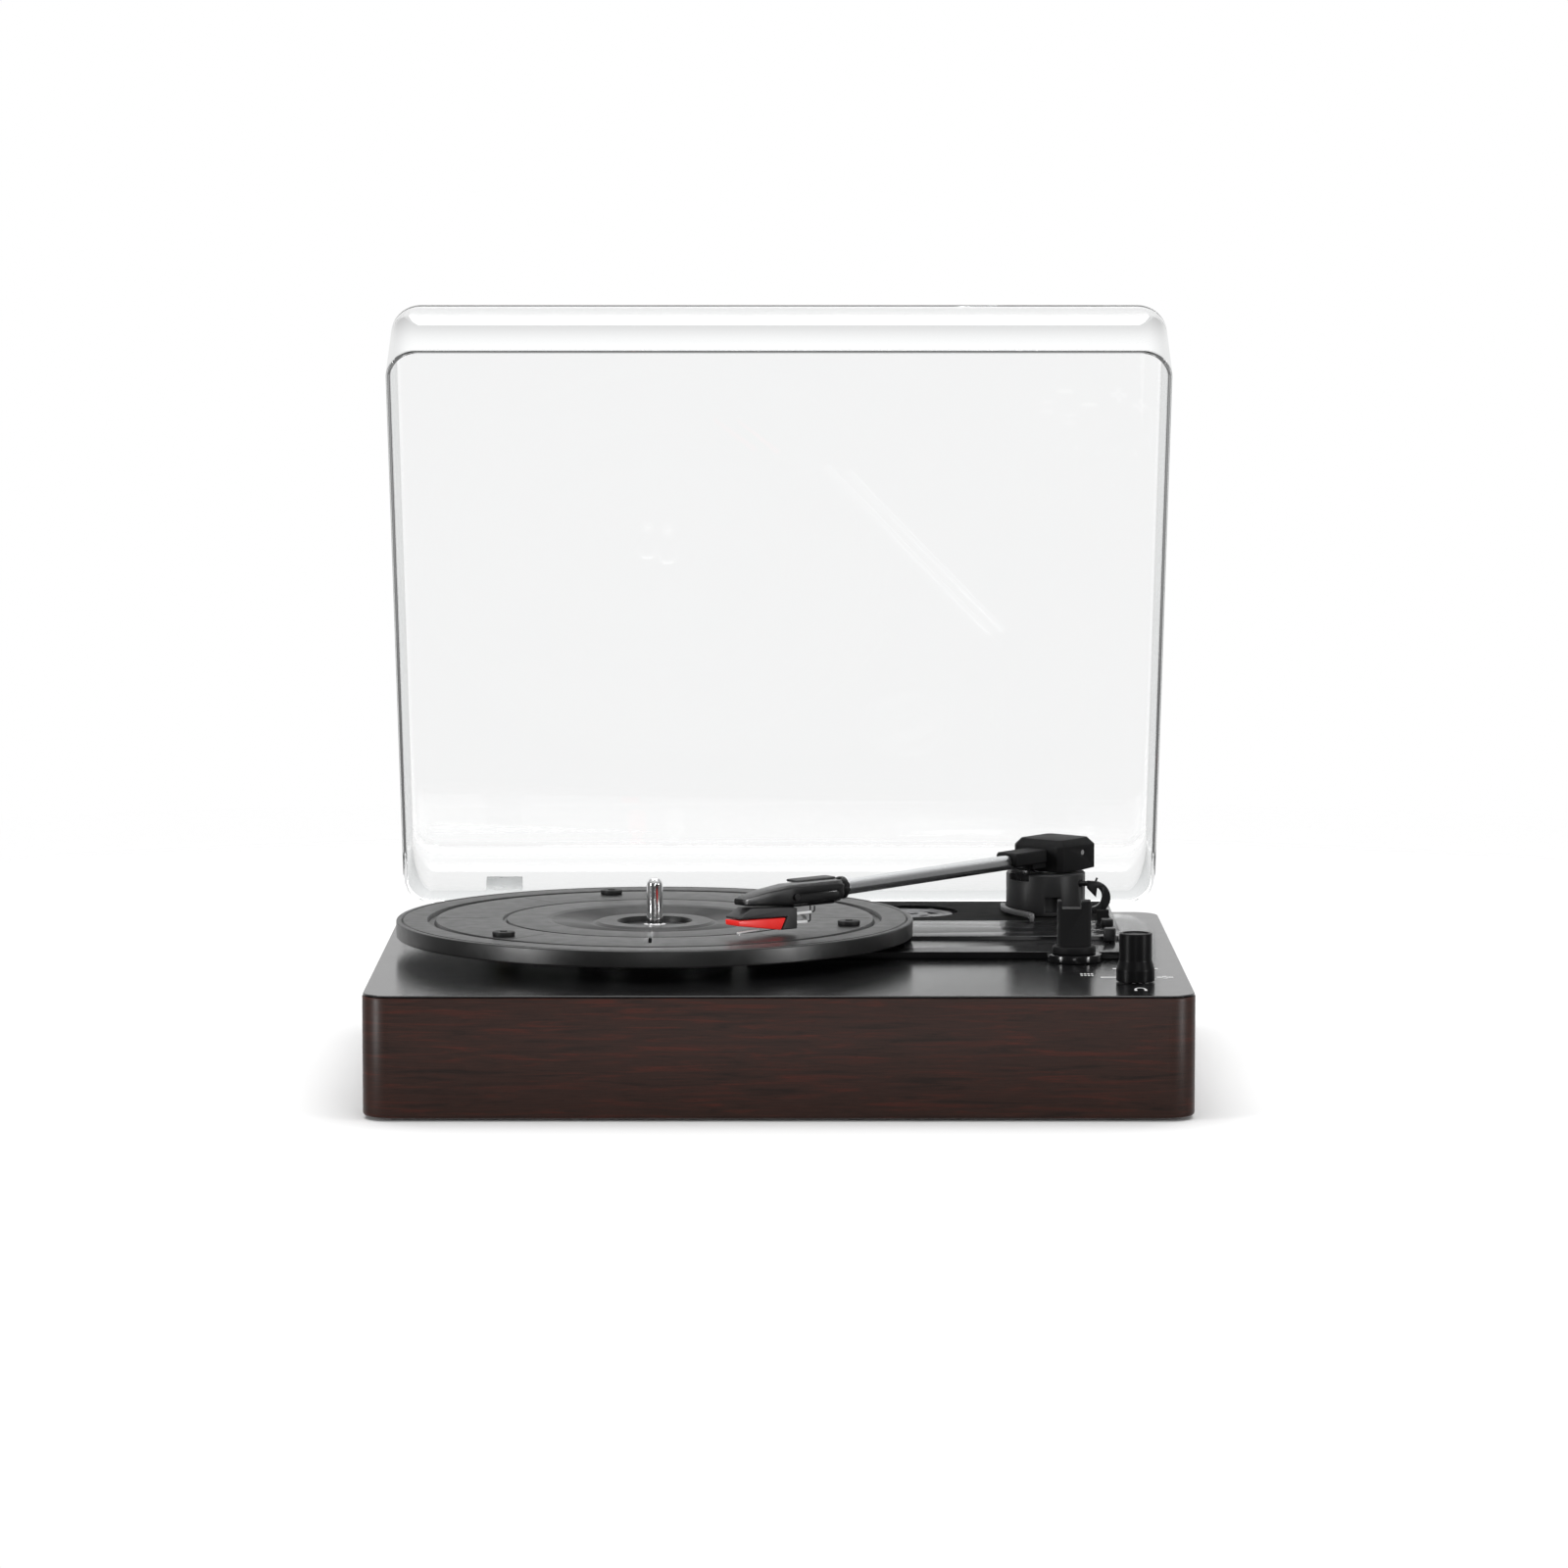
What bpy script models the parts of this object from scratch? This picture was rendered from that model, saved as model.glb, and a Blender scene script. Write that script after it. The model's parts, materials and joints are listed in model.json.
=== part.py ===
"""Compact belt-drive turntable with an open clear dust cover, built as separate parts.

All lengths are in metres and +Z is up. The platter, the tonearm, the lid and the
controls are each built about their own axis. Heights named "above the top" are
measured from the upper face of the top plate.
"""

import math

import bmesh
import bpy
from mathutils import Matrix, Vector

MM = 0.001
GAP = 0.3 * MM

# The plinth.
PLINTH_W = 350 * MM
PLINTH_D = 282 * MM
PLINTH_R = 12 * MM
PLINTH_BASE = 1.2 * MM
TOP = 53.2 * MM
PLATE_T = 0.8 * MM
BOTTOM_ROUND = 1.5 * MM
WALL = 12 * MM
SHIFT_Y = -27.12 * MM

# The raised deck that carries the tonearm and the switches.
DECK_X0 = -14 * MM
DECK_X1 = 152 * MM
DECK_FRONT = -26 * MM
DECK_STEP = 14.5 * MM
DECK_MATTE = 69 * MM
DECK_BACK = PLINTH_D / 2
DECK_LOW = 3.4 * MM
DECK_HIGH = 5.0 * MM
ADAPTER_AT = (60 * MM, 103 * MM)
ADAPTER_WELL_R = 21.5 * MM

# The platter and its drive.
PLATTER_AT = (-55 * MM, 12.5 * MM)
PLATTER_R = 114.2 * MM
PLATTER_LOW = 6.3 * MM
PLATTER_TOP = 13.6 * MM
PLATTER_FIELD = 13.5 * MM
SPINDLE_R = 3.58 * MM
SPINDLE_TIP = 31.2 * MM
BELT_RIM_R = 34 * MM
PULLEY_R = 5 * MM
PULLEY_AT = (-121 * MM, 46 * MM)
PAD_ANGLES = (104, 224, 344)
PAD_RING = 0.78

# The tonearm. Its distances run outward from the yaw axis along the arm.
ARM_AT = (121.5 * MM, 97 * MM)
ARM_ANGLE = math.radians(231)
ARM_Z = 30.8 * MM
TUBE_R = 3.4 * MM
COLLAR_AT = 147.8 * MM
COLUMN_R = 18 * MM
COLUMN_TOP = 24.3 * MM
BLOCK_SIDE = 28 * MM
BLOCK_BACK_SET = 6.7 * MM
BLOCK_CORNER = 2.4 * MM
BLOCK_TOP = 39.3 * MM
TILT_BACK_SET = 9.5 * MM
TILT_Z = 33 * MM
HOOD_END = 30 * MM
SHELL_ANGLE = math.radians(220)

# The arm rest and the cue lever.
REST_AT = (128.6 * MM, -30.5 * MM)
REST_CRADLE = 23.3 * MM
REST_PRONG = 26.6 * MM
LEVER_AT = (140.2 * MM, 88 * MM, 19.6 * MM)

# The volume knob.
KNOB_AT = (151.6 * MM, -97 * MM)
KNOB_TALL = 21 * MM

# The dust cover, described closed and then turned open about its hinge.
LID_W = 349 * MM
LID_BACK = 143.9 * MM
LID_FRONT = -141 * MM
LID_TALL = 50 * MM
LID_WALL = 2.4 * MM
LID_R = 14 * MM
LID_OPEN = math.radians(66.5)
HINGE_AT = (149 * MM, TOP - 4 * MM)
HINGE_X = 128.6 * MM

# The sockets at the back.
SOCKET_Z = 27.2 * MM

COLOURS = {
    "walnut": (0.035, 0.016, 0.013, 1),
    "satin_black": (0.012, 0.012, 0.013, 1),
    "matte_black": (0.03, 0.03, 0.03, 1),
    "platter_black": (0.05, 0.05, 0.05, 1),
    "rubber": (0.015, 0.015, 0.015, 1),
    "chrome": (0.8, 0.8, 0.8, 1),
    "steel": (0.45, 0.45, 0.45, 1),
    "brass": (0.6, 0.42, 0.15, 1),
    "aluminium": (0.62, 0.63, 0.64, 1),
    "charcoal": (0.045, 0.045, 0.047, 1),
    "red": (0.75, 0.015, 0.012, 1),
    "pale_grey": (0.5, 0.5, 0.5, 1),
    "board_green": (0.02, 0.13, 0.05, 1),
    "jack_white": (0.75, 0.75, 0.72, 1),
    "clear": (0.95, 0.96, 0.97, 0.25),
}


def clear_scene():
    for old in list(bpy.data.objects):
        bpy.data.objects.remove(old, do_unlink=True)


def material(kind, name):
    made = bpy.data.materials.new(name + "_" + kind)
    made.use_nodes = True
    shader = made.node_tree.nodes["Principled BSDF"]
    shader.inputs["Base Color"].default_value = COLOURS[kind]
    shader.inputs["Metallic"].default_value = float(kind in ("chrome", "steel", "brass", "aluminium"))
    shader.inputs["Roughness"].default_value = 0.4
    made.diffuse_color = COLOURS[kind]
    return made


def finish(name, bm, kind, origin=(0, 0, 0), smooth=35):
    """Turns a bmesh into a named object whose origin is moved to the given point."""
    bmesh.ops.recalc_face_normals(bm, faces=bm.faces)
    mesh = bpy.data.meshes.new(name)
    bmesh.ops.transform(bm, matrix=Matrix.Translation(-Vector(origin)), verts=bm.verts)
    bm.to_mesh(mesh)
    bm.free()
    made = bpy.data.objects.new(name, mesh)
    made.location = origin
    bpy.context.scene.collection.objects.link(made)
    mesh.materials.append(material(kind, name))
    if smooth:
        mesh.shade_smooth()
        mesh.set_sharp_from_angle(angle=math.radians(smooth))
    return made


def arc(cx, cy, radius, start, end, steps):
    """Points on an arc, both ends included. Angles are in degrees."""
    turns = [math.radians(start + (end - start) * i / steps) for i in range(steps + 1)]
    return [(cx + radius * math.cos(a), cy + radius * math.sin(a)) for a in turns]


def circle(cx, cy, radius, steps):
    return arc(cx, cy, radius, 0, 360, steps)[:-1]


def rounded(x0, y0, x1, y1, radius, steps=8):
    """Outline of a rectangle with round corners, anticlockwise."""
    r = radius
    return (
        arc(x1 - r, y0 + r, r, -90, 0, steps)
        + arc(x1 - r, y1 - r, r, 0, 90, steps)
        + arc(x0 + r, y1 - r, r, 90, 180, steps)
        + arc(x0 + r, y0 + r, r, 180, 270, steps)
    )


def add_prism(bm, outline, z0, z1, top_inset=0.0, inset_z=0.0):
    """Adds an upright prism. A top inset gives it a chamfered upper edge."""
    levels = [(z0, 0.0), (z1, 0.0)]
    if top_inset:
        levels = [(z0, 0.0), (z1 - inset_z, 0.0), (z1, top_inset)]
    cx = sum(p[0] for p in outline) / len(outline)
    cy = sum(p[1] for p in outline) / len(outline)
    half_x = max(abs(p[0] - cx) for p in outline)
    half_y = max(abs(p[1] - cy) for p in outline)
    rings = []
    for z, inset in levels:
        sx = (half_x - inset) / half_x
        sy = (half_y - inset) / half_y
        rings.append([bm.verts.new((cx + (x - cx) * sx, cy + (y - cy) * sy, z)) for x, y in outline])
    for low, high in zip(rings, rings[1:]):
        for i in range(len(low)):
            j = (i + 1) % len(low)
            bm.faces.new((low[i], low[j], high[j], high[i]))
    bm.faces.new(rings[0][::-1])
    bm.faces.new(rings[-1])


def prism(outline, z0, z1, top_inset=0.0, inset_z=0.0):
    bm = bmesh.new()
    add_prism(bm, outline, z0, z1, top_inset, inset_z)
    return bm


def stacked(levels):
    """A closed band through (outline, height) levels whose outlines have the same number of points."""
    bm = bmesh.new()
    loops = []
    for outline, z in levels:
        loops.append([bm.verts.new((x, y, z)) for x, y in outline])
    for a, b in zip(loops, loops[1:] + loops[:1]):
        for i in range(len(a)):
            j = (i + 1) % len(a)
            bm.faces.new((a[i], a[j], b[j], b[i]))
    return bm


def ring_prism(outer, inner, z0, z1):
    """A closed band between two outlines that have the same number of points."""
    return stacked([(outer, z0), (outer, z1), (inner, z1), (inner, z0)])


def lathe(profile, steps, at=(0, 0)):
    """Turns a closed profile of (radius, height) points about the upright axis."""
    bm = bmesh.new()
    rings = []
    for radius, z in profile:
        if radius < 1e-7:
            rings.append([bm.verts.new((at[0], at[1], z))])
        else:
            rings.append([bm.verts.new((x, y, z)) for x, y in circle(at[0], at[1], radius, steps)])
    closed = list(zip(rings, rings[1:] + rings[:1]))
    for a, b in closed:
        if len(a) == 1 and len(b) == 1:
            continue
        for i in range(steps):
            j = (i + 1) % steps
            if len(a) == 1:
                bm.faces.new((a[0], b[i], b[j]))
            elif len(b) == 1:
                bm.faces.new((a[i], b[0], a[j]))
            else:
                bm.faces.new((a[i], b[i], b[j], a[j]))
    return bm


def rod(radius, start, end, steps):
    """A plain upright cylinder about the origin."""
    return lathe([(0, start), (radius, start), (radius, end), (0, end)], steps)


def facing_right(x, y, z):
    """A frame at a point whose +Z runs along +X."""
    return Matrix.Translation((x, y, z)) @ Matrix.Rotation(math.pi / 2, 4, "Y")


def facing_back(x, y, z):
    """A frame at a point whose +Z runs along +Y."""
    return Matrix.Translation((x, y, z)) @ Matrix.Rotation(-math.pi / 2, 4, "X")


def box(x0, y0, z0, x1, y1, z1):
    return prism([(x0, y0), (x1, y0), (x1, y1), (x0, y1)], z0, z1)


def turned(bm, matrix):
    bmesh.ops.transform(bm, matrix=matrix, verts=bm.verts)
    return bm


def cut(bm, tools, operation="DIFFERENCE"):
    """Applies Booleans one after another and returns the resulting bmesh.

    The work is done in millimetres, where the solver is at its most exact.
    """
    names = []
    for i, piece in enumerate([bm] + list(tools)):
        mesh = bpy.data.meshes.new("work")
        bmesh.ops.recalc_face_normals(piece, faces=piece.faces)
        bmesh.ops.scale(piece, vec=(1000, 1000, 1000), verts=piece.verts)
        piece.to_mesh(mesh)
        piece.free()
        held = bpy.data.objects.new("work_%d" % i, mesh)
        bpy.context.scene.collection.objects.link(held)
        names.append(held)
    base = names[0]
    for tool in names[1:]:
        modifier = base.modifiers.new("cut", "BOOLEAN")
        modifier.operation = operation
        modifier.object = tool
        modifier.solver = "EXACT"
    bpy.context.view_layer.update()
    graph = bpy.context.evaluated_depsgraph_get()
    result = bmesh.new()
    result.from_mesh(base.evaluated_get(graph).to_mesh())
    bmesh.ops.remove_doubles(result, verts=result.verts, dist=0.002)
    bmesh.ops.scale(result, vec=(0.001, 0.001, 0.001), verts=result.verts)
    for held in names:
        bpy.data.objects.remove(held, do_unlink=True)
    return result


def sector(inner, outer, start, end, steps):
    """Outline of a ring sector about the tonearm's column."""
    return arc(*ARM_AT, outer, start, end, steps) + arc(*ARM_AT, inner, end, start, steps)


def along(angle, at, z=0.0):
    """A frame whose +X runs along a horizontal direction from a point."""
    return Matrix.Translation((at[0], at[1], z)) @ Matrix.Rotation(angle, 4, "Z")


def lying(profile, steps, angle, at, z):
    """A lathe piece laid along a horizontal direction. Profile heights become distances."""
    return turned(lathe(profile, steps), along(angle, at, z) @ Matrix.Rotation(math.pi / 2, 4, "Y"))


def tube_along(points, radius, steps, across):
    """A round rod swept through points of one plane, closed at both ends. The plane is square to across."""
    bm = bmesh.new()
    rings = []
    for i, point in enumerate(points):
        before = Vector(points[max(i - 1, 0)])
        after = Vector(points[min(i + 1, len(points) - 1)])
        up = (after - before).normalized().cross(across)
        ring = []
        for x, y in circle(0, 0, radius, steps):
            ring.append(bm.verts.new(Vector(point) + across * x + up * y))
        rings.append(ring)
    for a, b in zip(rings, rings[1:]):
        for i in range(steps):
            j = (i + 1) % steps
            bm.faces.new((a[i], a[j], b[j], b[i]))
    bm.faces.new(rings[0][::-1])
    bm.faces.new(rings[-1])
    return bm


def side_prism(profile, half_width, tip_half=None):
    """A prism of a side profile of (distance, height) points, set across the X axis.

    With tip_half, the width narrows linearly towards the far end of the profile.
    """
    longest = max(s for s, _ in profile)
    bm = bmesh.new()
    sides = []
    for sign in (-1, 1):
        row = []
        for s, z in profile:
            wide = half_width
            if tip_half is not None:
                wide += (tip_half - half_width) * max(s, 0) / longest
            row.append(bm.verts.new((s, sign * wide, z)))
        sides.append(row)
    near, far = sides
    for i in range(len(near)):
        j = (i + 1) % len(near)
        bm.faces.new((near[i], near[j], far[j], far[i]))
    bm.faces.new(near[::-1])
    bm.faces.new(far)
    return bm


def softened(bm, width, segments=2, angle=30):
    """Rounds every edge sharper than the given angle."""
    bmesh.ops.recalc_face_normals(bm, faces=bm.faces)
    edges = [e for e in bm.edges if e.is_manifold and e.calc_face_angle(0) > math.radians(angle)]
    bmesh.ops.bevel(bm, geom=edges, offset=width, segments=segments, profile=0.5,
                    affect="EDGES", clamp_overlap=True)
    return bm


# ---------------------------------------------------------------- the plinth


def build_plinth():
    w, d = PLINTH_W / 2, PLINTH_D / 2
    outer = rounded(-w, -d, w, d, PLINTH_R, 10)
    inner = rounded(-w + WALL, -d + WALL, w - WALL, d - WALL, 4 * MM, 10)
    top = TOP - PLATE_T - GAP
    loops = []
    for turn in (90, 60, 30, 0):
        a = math.radians(turn)
        inset = BOTTOM_ROUND * (1 - math.cos(a))
        lower = rounded(-w + inset, -d + inset, w - inset, d - inset, PLINTH_R - inset, 10)
        loops.append((lower, PLINTH_BASE + BOTTOM_ROUND * (1 - math.sin(a))))
    frame = stacked(loops + [(outer, top), (inner, top), (inner, PLINTH_BASE)])
    window = box(-112 * MM, d - WALL - 1 * MM, SOCKET_Z - 9 * MM, -38 * MM, d + 1 * MM, SOCKET_Z + 9 * MM)
    phones = rod(4.3 * MM, -8 * MM, 8 * MM, 24)
    phones = turned(phones, facing_right(w - 6 * MM, -115 * MM, SOCKET_Z + 7 * MM))
    finish("plinth_frame", cut(frame, [window, phones]), "walnut")

    edge = 0.3 * MM
    plate = prism(rounded(-w + edge, -d + edge, w - edge, d - edge, PLINTH_R - edge, 10),
                  TOP - PLATE_T, TOP, 0.3 * MM, 0.3 * MM)
    holes = [
        prism(circle(*PLATTER_AT, 7 * MM, 32), TOP - 9 * MM, TOP + 1 * MM),
        prism(circle(*PULLEY_AT, 8 * MM, 32), TOP - 9 * MM, TOP + 1 * MM),
        prism(circle(*KNOB_AT, 4 * MM, 24), TOP - 9 * MM, TOP + 1 * MM),
    ]
    finish("top_plate", cut(plate, holes), "satin_black")

    low = PLINTH_BASE + 1.8 * MM
    cover = prism(rounded(-w + WALL + GAP, -d + WALL + GAP, w - WALL - GAP, d - WALL - GAP, 4 * MM, 6),
                  low, low + 3 * MM)
    posts = []
    for x in (40, 112):
        for y in (-92, -40):
            posts.append(prism(circle(x * MM, y * MM, 3 * MM, 16), low + 1 * MM, low + 8.9 * MM))
    finish("bottom_cover", cut(cover, posts, "UNION"), "matte_black")

    spots = [(-1, -1), (1, -1), (-1, 1), (1, 1)]
    for i, (sx, sy) in enumerate(spots):
        at = (sx * (w - 38 * MM), sy * (d - 38 * MM))
        profile = [(0, 0), (9.0 * MM, 0), (9.7 * MM, 0.6 * MM), (10 * MM, low - GAP), (0, low - GAP)]
        finish("foot_%d" % (i + 1), lathe(profile, 32, at), "rubber", (*at, 0))
        at = (sx * (w - 20 * MM), sy * (d - 20 * MM))
        head = [(0, low - 1.5 * MM), (2.2 * MM, low - 1.5 * MM), (3.2 * MM, low - 0.9 * MM),
                (3.2 * MM, low - GAP), (0, low - GAP)]
        finish("cover_screw_%d" % (i + 1), lathe(head, 20, at), "steel", (*at, 0))


def build_deck():
    x0, x1 = DECK_X0, DECK_X1
    z0 = TOP + GAP
    low = prism(rounded(x0, DECK_FRONT, x1, DECK_BACK, 2.5 * MM, 5), z0, TOP + DECK_LOW)
    high = prism(rounded(x0, DECK_STEP, x1, DECK_BACK, 2.5 * MM, 5), z0, TOP + DECK_HIGH)
    bulge = prism(circle(REST_AT[0], REST_AT[1] - 1 * MM, 12 * MM, 40), z0, TOP + DECK_LOW)
    body = cut(low, [high, bulge], "UNION")
    ledge = 1.0 * MM
    tools = [
        box(x0 + 2 * MM, DECK_MATTE, TOP + DECK_HIGH - ledge, x1 - 2 * MM, DECK_BACK - 2 * MM, TOP + 9 * MM),
        prism(circle(*ADAPTER_AT, ADAPTER_WELL_R, 48), TOP + 1.6 * MM, TOP + 9 * MM),
        box(146.4 * MM, 43 * MM, TOP + 1.8 * MM, 147.8 * MM, 57 * MM, TOP + 9 * MM),
        box(145.4 * MM, 2 * MM, TOP + 1.2 * MM, 146.8 * MM, 13.5 * MM, TOP + 9 * MM),
        box(137 * MM, 33.6 * MM, TOP + 4.2 * MM, 153 * MM, 34.8 * MM, TOP + 9 * MM),
    ]
    finish("deck_module", cut(body, tools), "satin_black")

    low = TOP + DECK_HIGH - ledge + GAP
    panel = box(x0 + 2 * MM + GAP, DECK_MATTE + GAP, low,
                x1 - 2 * MM - GAP, DECK_BACK - 2 * MM - GAP, TOP + DECK_HIGH)
    stop = box(143.6 * MM, 70 * MM, low + 0.2 * MM, 149 * MM, 75 * MM, TOP + 9.4 * MM)
    holes = [
        prism(circle(*ADAPTER_AT, ADAPTER_WELL_R, 48), TOP, TOP + 9 * MM),
        prism(circle(*ARM_AT, 15 * MM, 40), TOP, TOP + 9 * MM),
    ]
    finish("deck_rear_panel", cut(cut(panel, [stop], "UNION"), holes), "matte_black")

    z = TOP + 1.6 * MM + GAP
    profile = [
        (3.7 * MM, z), (19.2 * MM, z), (19.8 * MM, z + 0.6 * MM), (19.8 * MM, z + 1.4 * MM),
        (19.2 * MM, z + 2.0 * MM), (16.5 * MM, z + 2.0 * MM), (15.9 * MM, z + 1.4 * MM),
        (8.6 * MM, z + 1.4 * MM), (8.0 * MM, z + 2.2 * MM), (4.2 * MM, z + 2.2 * MM),
        (3.7 * MM, z + 1.8 * MM),
    ]
    disc = lathe(profile, 36, ADAPTER_AT)
    slots = []
    for turn in (20, 140, 260):
        outer = arc(*ADAPTER_AT, 14.6 * MM, turn, turn + 76, 10)
        inner = arc(*ADAPTER_AT, 10.2 * MM, turn + 76, turn, 10)
        slots.append(prism(outer + inner, TOP, TOP + 9 * MM))
    finish("adapter_45", cut(disc, slots), "pale_grey", (*ADAPTER_AT, z))


# ---------------------------------------------------------------- the platter


def build_platter():
    R = PLATTER_R
    t = TOP
    field = PLATTER_FIELD
    profile = [
        (3.9 * MM, t + 7.2 * MM), (11 * MM, t + 7.2 * MM), (11 * MM, t + 1.6 * MM),
        (BELT_RIM_R, t + 1.6 * MM), (BELT_RIM_R, t + 9.4 * MM), (110 * MM, t + 9.4 * MM),
        (110.4 * MM, t + PLATTER_LOW),
        (R - 0.6 * MM, t + PLATTER_LOW), (R, t + PLATTER_LOW + 0.6 * MM), (R, t + PLATTER_TOP - 0.7 * MM),
        (R - 0.7 * MM, t + PLATTER_TOP), (0.880 * R, t + PLATTER_TOP), (0.874 * R, t + field - 1.7 * MM),
        (0.854 * R, t + field - 1.7 * MM), (0.846 * R, t + field),
        (0.587 * R, t + field), (0.583 * R, t + field - 0.6 * MM), (0.575 * R, t + field - 0.6 * MM),
        (0.571 * R, t + field), (0.42 * R, t + field), (0.365 * R, t + field - 1.6 * MM),
        (0.235 * R, t + field - 1.6 * MM), (0.22 * R, t + field - 1.1 * MM),
        (0.146 * R, t + field - 1.1 * MM), (0.14 * R, t + 10.0 * MM), (3.9 * MM, t + 10.0 * MM),
    ]
    px, py = PLATTER_AT
    slot = box(px - 1.2 * MM, py - 85.7 * MM, t + 11.3 * MM, px + 0.4 * MM, py - 68.8 * MM, t + 20 * MM)
    body = cut(lathe(profile, 64, PLATTER_AT), [slot])
    finish("platter", body, "platter_black", (*PLATTER_AT, t))

    tip = t + SPINDLE_TIP
    shaft = [(0, t - 24 * MM), (2.6 * MM, t - 24 * MM), (3.0 * MM, t - 23 * MM), (3.0 * MM, t + 2 * MM)]
    shaft += [(SPINDLE_R, t + 2 * MM), (SPINDLE_R, tip - 4 * MM)]
    for turn in (20, 40, 58, 74):
        a = math.radians(turn)
        shaft.append((SPINDLE_R * math.cos(a), tip - 4 * MM + 4 * MM * math.sin(a)))
    shaft.append((0, tip))
    finish("spindle", lathe(shaft, 24, PLATTER_AT), "chrome", (*PLATTER_AT, t))

    housing = [
        (0, t - 30 * MM), (5.6 * MM, t - 30 * MM), (5.6 * MM, t - 4.4 * MM), (13 * MM, t - 4.4 * MM),
        (13 * MM, t - PLATE_T - GAP), (5.6 * MM, t - PLATE_T - GAP), (5.6 * MM, t + 1.2 * MM),
        (3.3 * MM, t + 1.2 * MM), (3.3 * MM, t - 24.6 * MM), (0, t - 24.6 * MM),
    ]
    finish("spindle_bearing", lathe(housing, 24, PLATTER_AT), "brass", (*PLATTER_AT, t))

    for i, turn in enumerate(PAD_ANGLES):
        a = math.radians(turn)
        at = (PLATTER_AT[0] + PAD_RING * R * math.cos(a), PLATTER_AT[1] + PAD_RING * R * math.sin(a))
        z = t + field + 0.05 * MM
        pad = [
            (0, z), (4.6 * MM, z), (5.0 * MM, z + 0.3 * MM), (5.0 * MM, z + 1.5 * MM),
            (4.6 * MM, z + 1.9 * MM), (1.6 * MM, z + 1.9 * MM), (1.4 * MM, z + 2.4 * MM), (0, z + 2.4 * MM),
        ]
        finish("record_pad_%d" % (i + 1), lathe(pad, 20, at), "rubber", (*PLATTER_AT, t))


def build_drive():
    t = TOP
    low, high = t + 2.2 * MM, t + 5.6 * MM
    pulley = [
        (0, t - 5 * MM), (1 * MM, t - 5 * MM), (1 * MM, t - 0.5 * MM), (PULLEY_R + 0.9 * MM, t - 0.5 * MM),
        (PULLEY_R + 0.9 * MM, low - 0.7 * MM), (PULLEY_R, low - 0.4 * MM), (PULLEY_R, high + 0.3 * MM),
        (PULLEY_R - 0.6 * MM, high + 0.6 * MM), (0, high + 0.6 * MM),
    ]
    finish("motor_pulley", lathe(pulley, 28, PULLEY_AT), "brass", (*PULLEY_AT, t))
    can = [
        (1.4 * MM, t - 6.6 * MM), (15 * MM, t - 6.6 * MM), (16 * MM, t - 7.6 * MM), (16 * MM, t - 29 * MM),
        (15 * MM, t - 30 * MM), (0, t - 30 * MM), (0, t - 12 * MM), (1.4 * MM, t - 12 * MM),
    ]
    finish("motor", lathe(can, 28, PULLEY_AT), "steel", (*PULLEY_AT, t))
    x, y = PULLEY_AT
    plate = prism(rounded(x - 22 * MM, y - 22 * MM, x + 22 * MM, y + 22 * MM, 4 * MM, 5),
                  t - 6.3 * MM, t - PLATE_T - GAP)
    finish("motor_plate", cut(plate, [prism(circle(x, y, 8 * MM, 32), t - 9 * MM, t)]), "steel")

    # The belt follows both round rims with straight runs between them.
    def wrap(extra, steps=28):
        dx, dy = PULLEY_AT[0] - PLATTER_AT[0], PULLEY_AT[1] - PLATTER_AT[1]
        lean = math.degrees(math.acos((BELT_RIM_R - PULLEY_R) / math.hypot(dx, dy)))
        way = math.degrees(math.atan2(dy, dx))
        big = arc(*PLATTER_AT, BELT_RIM_R + extra, way + lean, way + 360 - lean, steps)
        small = arc(*PULLEY_AT, PULLEY_R + extra, way - lean, way + lean, steps // 2)
        return big + small

    finish("drive_belt", ring_prism(wrap(1.0 * MM), wrap(0.25 * MM), low, high), "rubber")


# ---------------------------------------------------------------- inside and controls


def build_inside():
    low = PLINTH_BASE + 11 * MM
    board = box(34 * MM, -98 * MM, low, 118 * MM, -34 * MM, low + 1.6 * MM)
    finish("main_board", board, "board_green")
    x, y = KNOB_AT
    pot = prism(rounded(x - 8 * MM, y - 8 * MM, x + 8 * MM, y + 8 * MM, 1.5 * MM, 3),
                TOP - 14 * MM, TOP - PLATE_T - GAP)
    bore = prism(circle(x, y, 3.4 * MM, 24), TOP - 10 * MM, TOP)
    finish("volume_pot", cut(pot, [bore]), "steel")


def build_knob():
    t = TOP
    r = 7.0 * MM
    profile = [
        (0, t - 9.4 * MM), (3.0 * MM, t - 9.4 * MM), (3.0 * MM, t + 0.5 * MM), (8.2 * MM, t + 0.5 * MM),
        (8.2 * MM, t + 5.6 * MM), (8.0 * MM, t + 6.6 * MM), (7.25 * MM, t + 9.6 * MM), (r, t + 11 * MM),
        (r, t + KNOB_TALL - 0.7 * MM), (r - 0.5 * MM, t + KNOB_TALL), (r - 1.1 * MM, t + KNOB_TALL),
        (r - 1.7 * MM, t + KNOB_TALL - 0.5 * MM), (0, t + KNOB_TALL - 0.5 * MM),
    ]
    finish("volume_knob", lathe(profile, 36, KNOB_AT), "satin_black", (*KNOB_AT, t))


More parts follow.
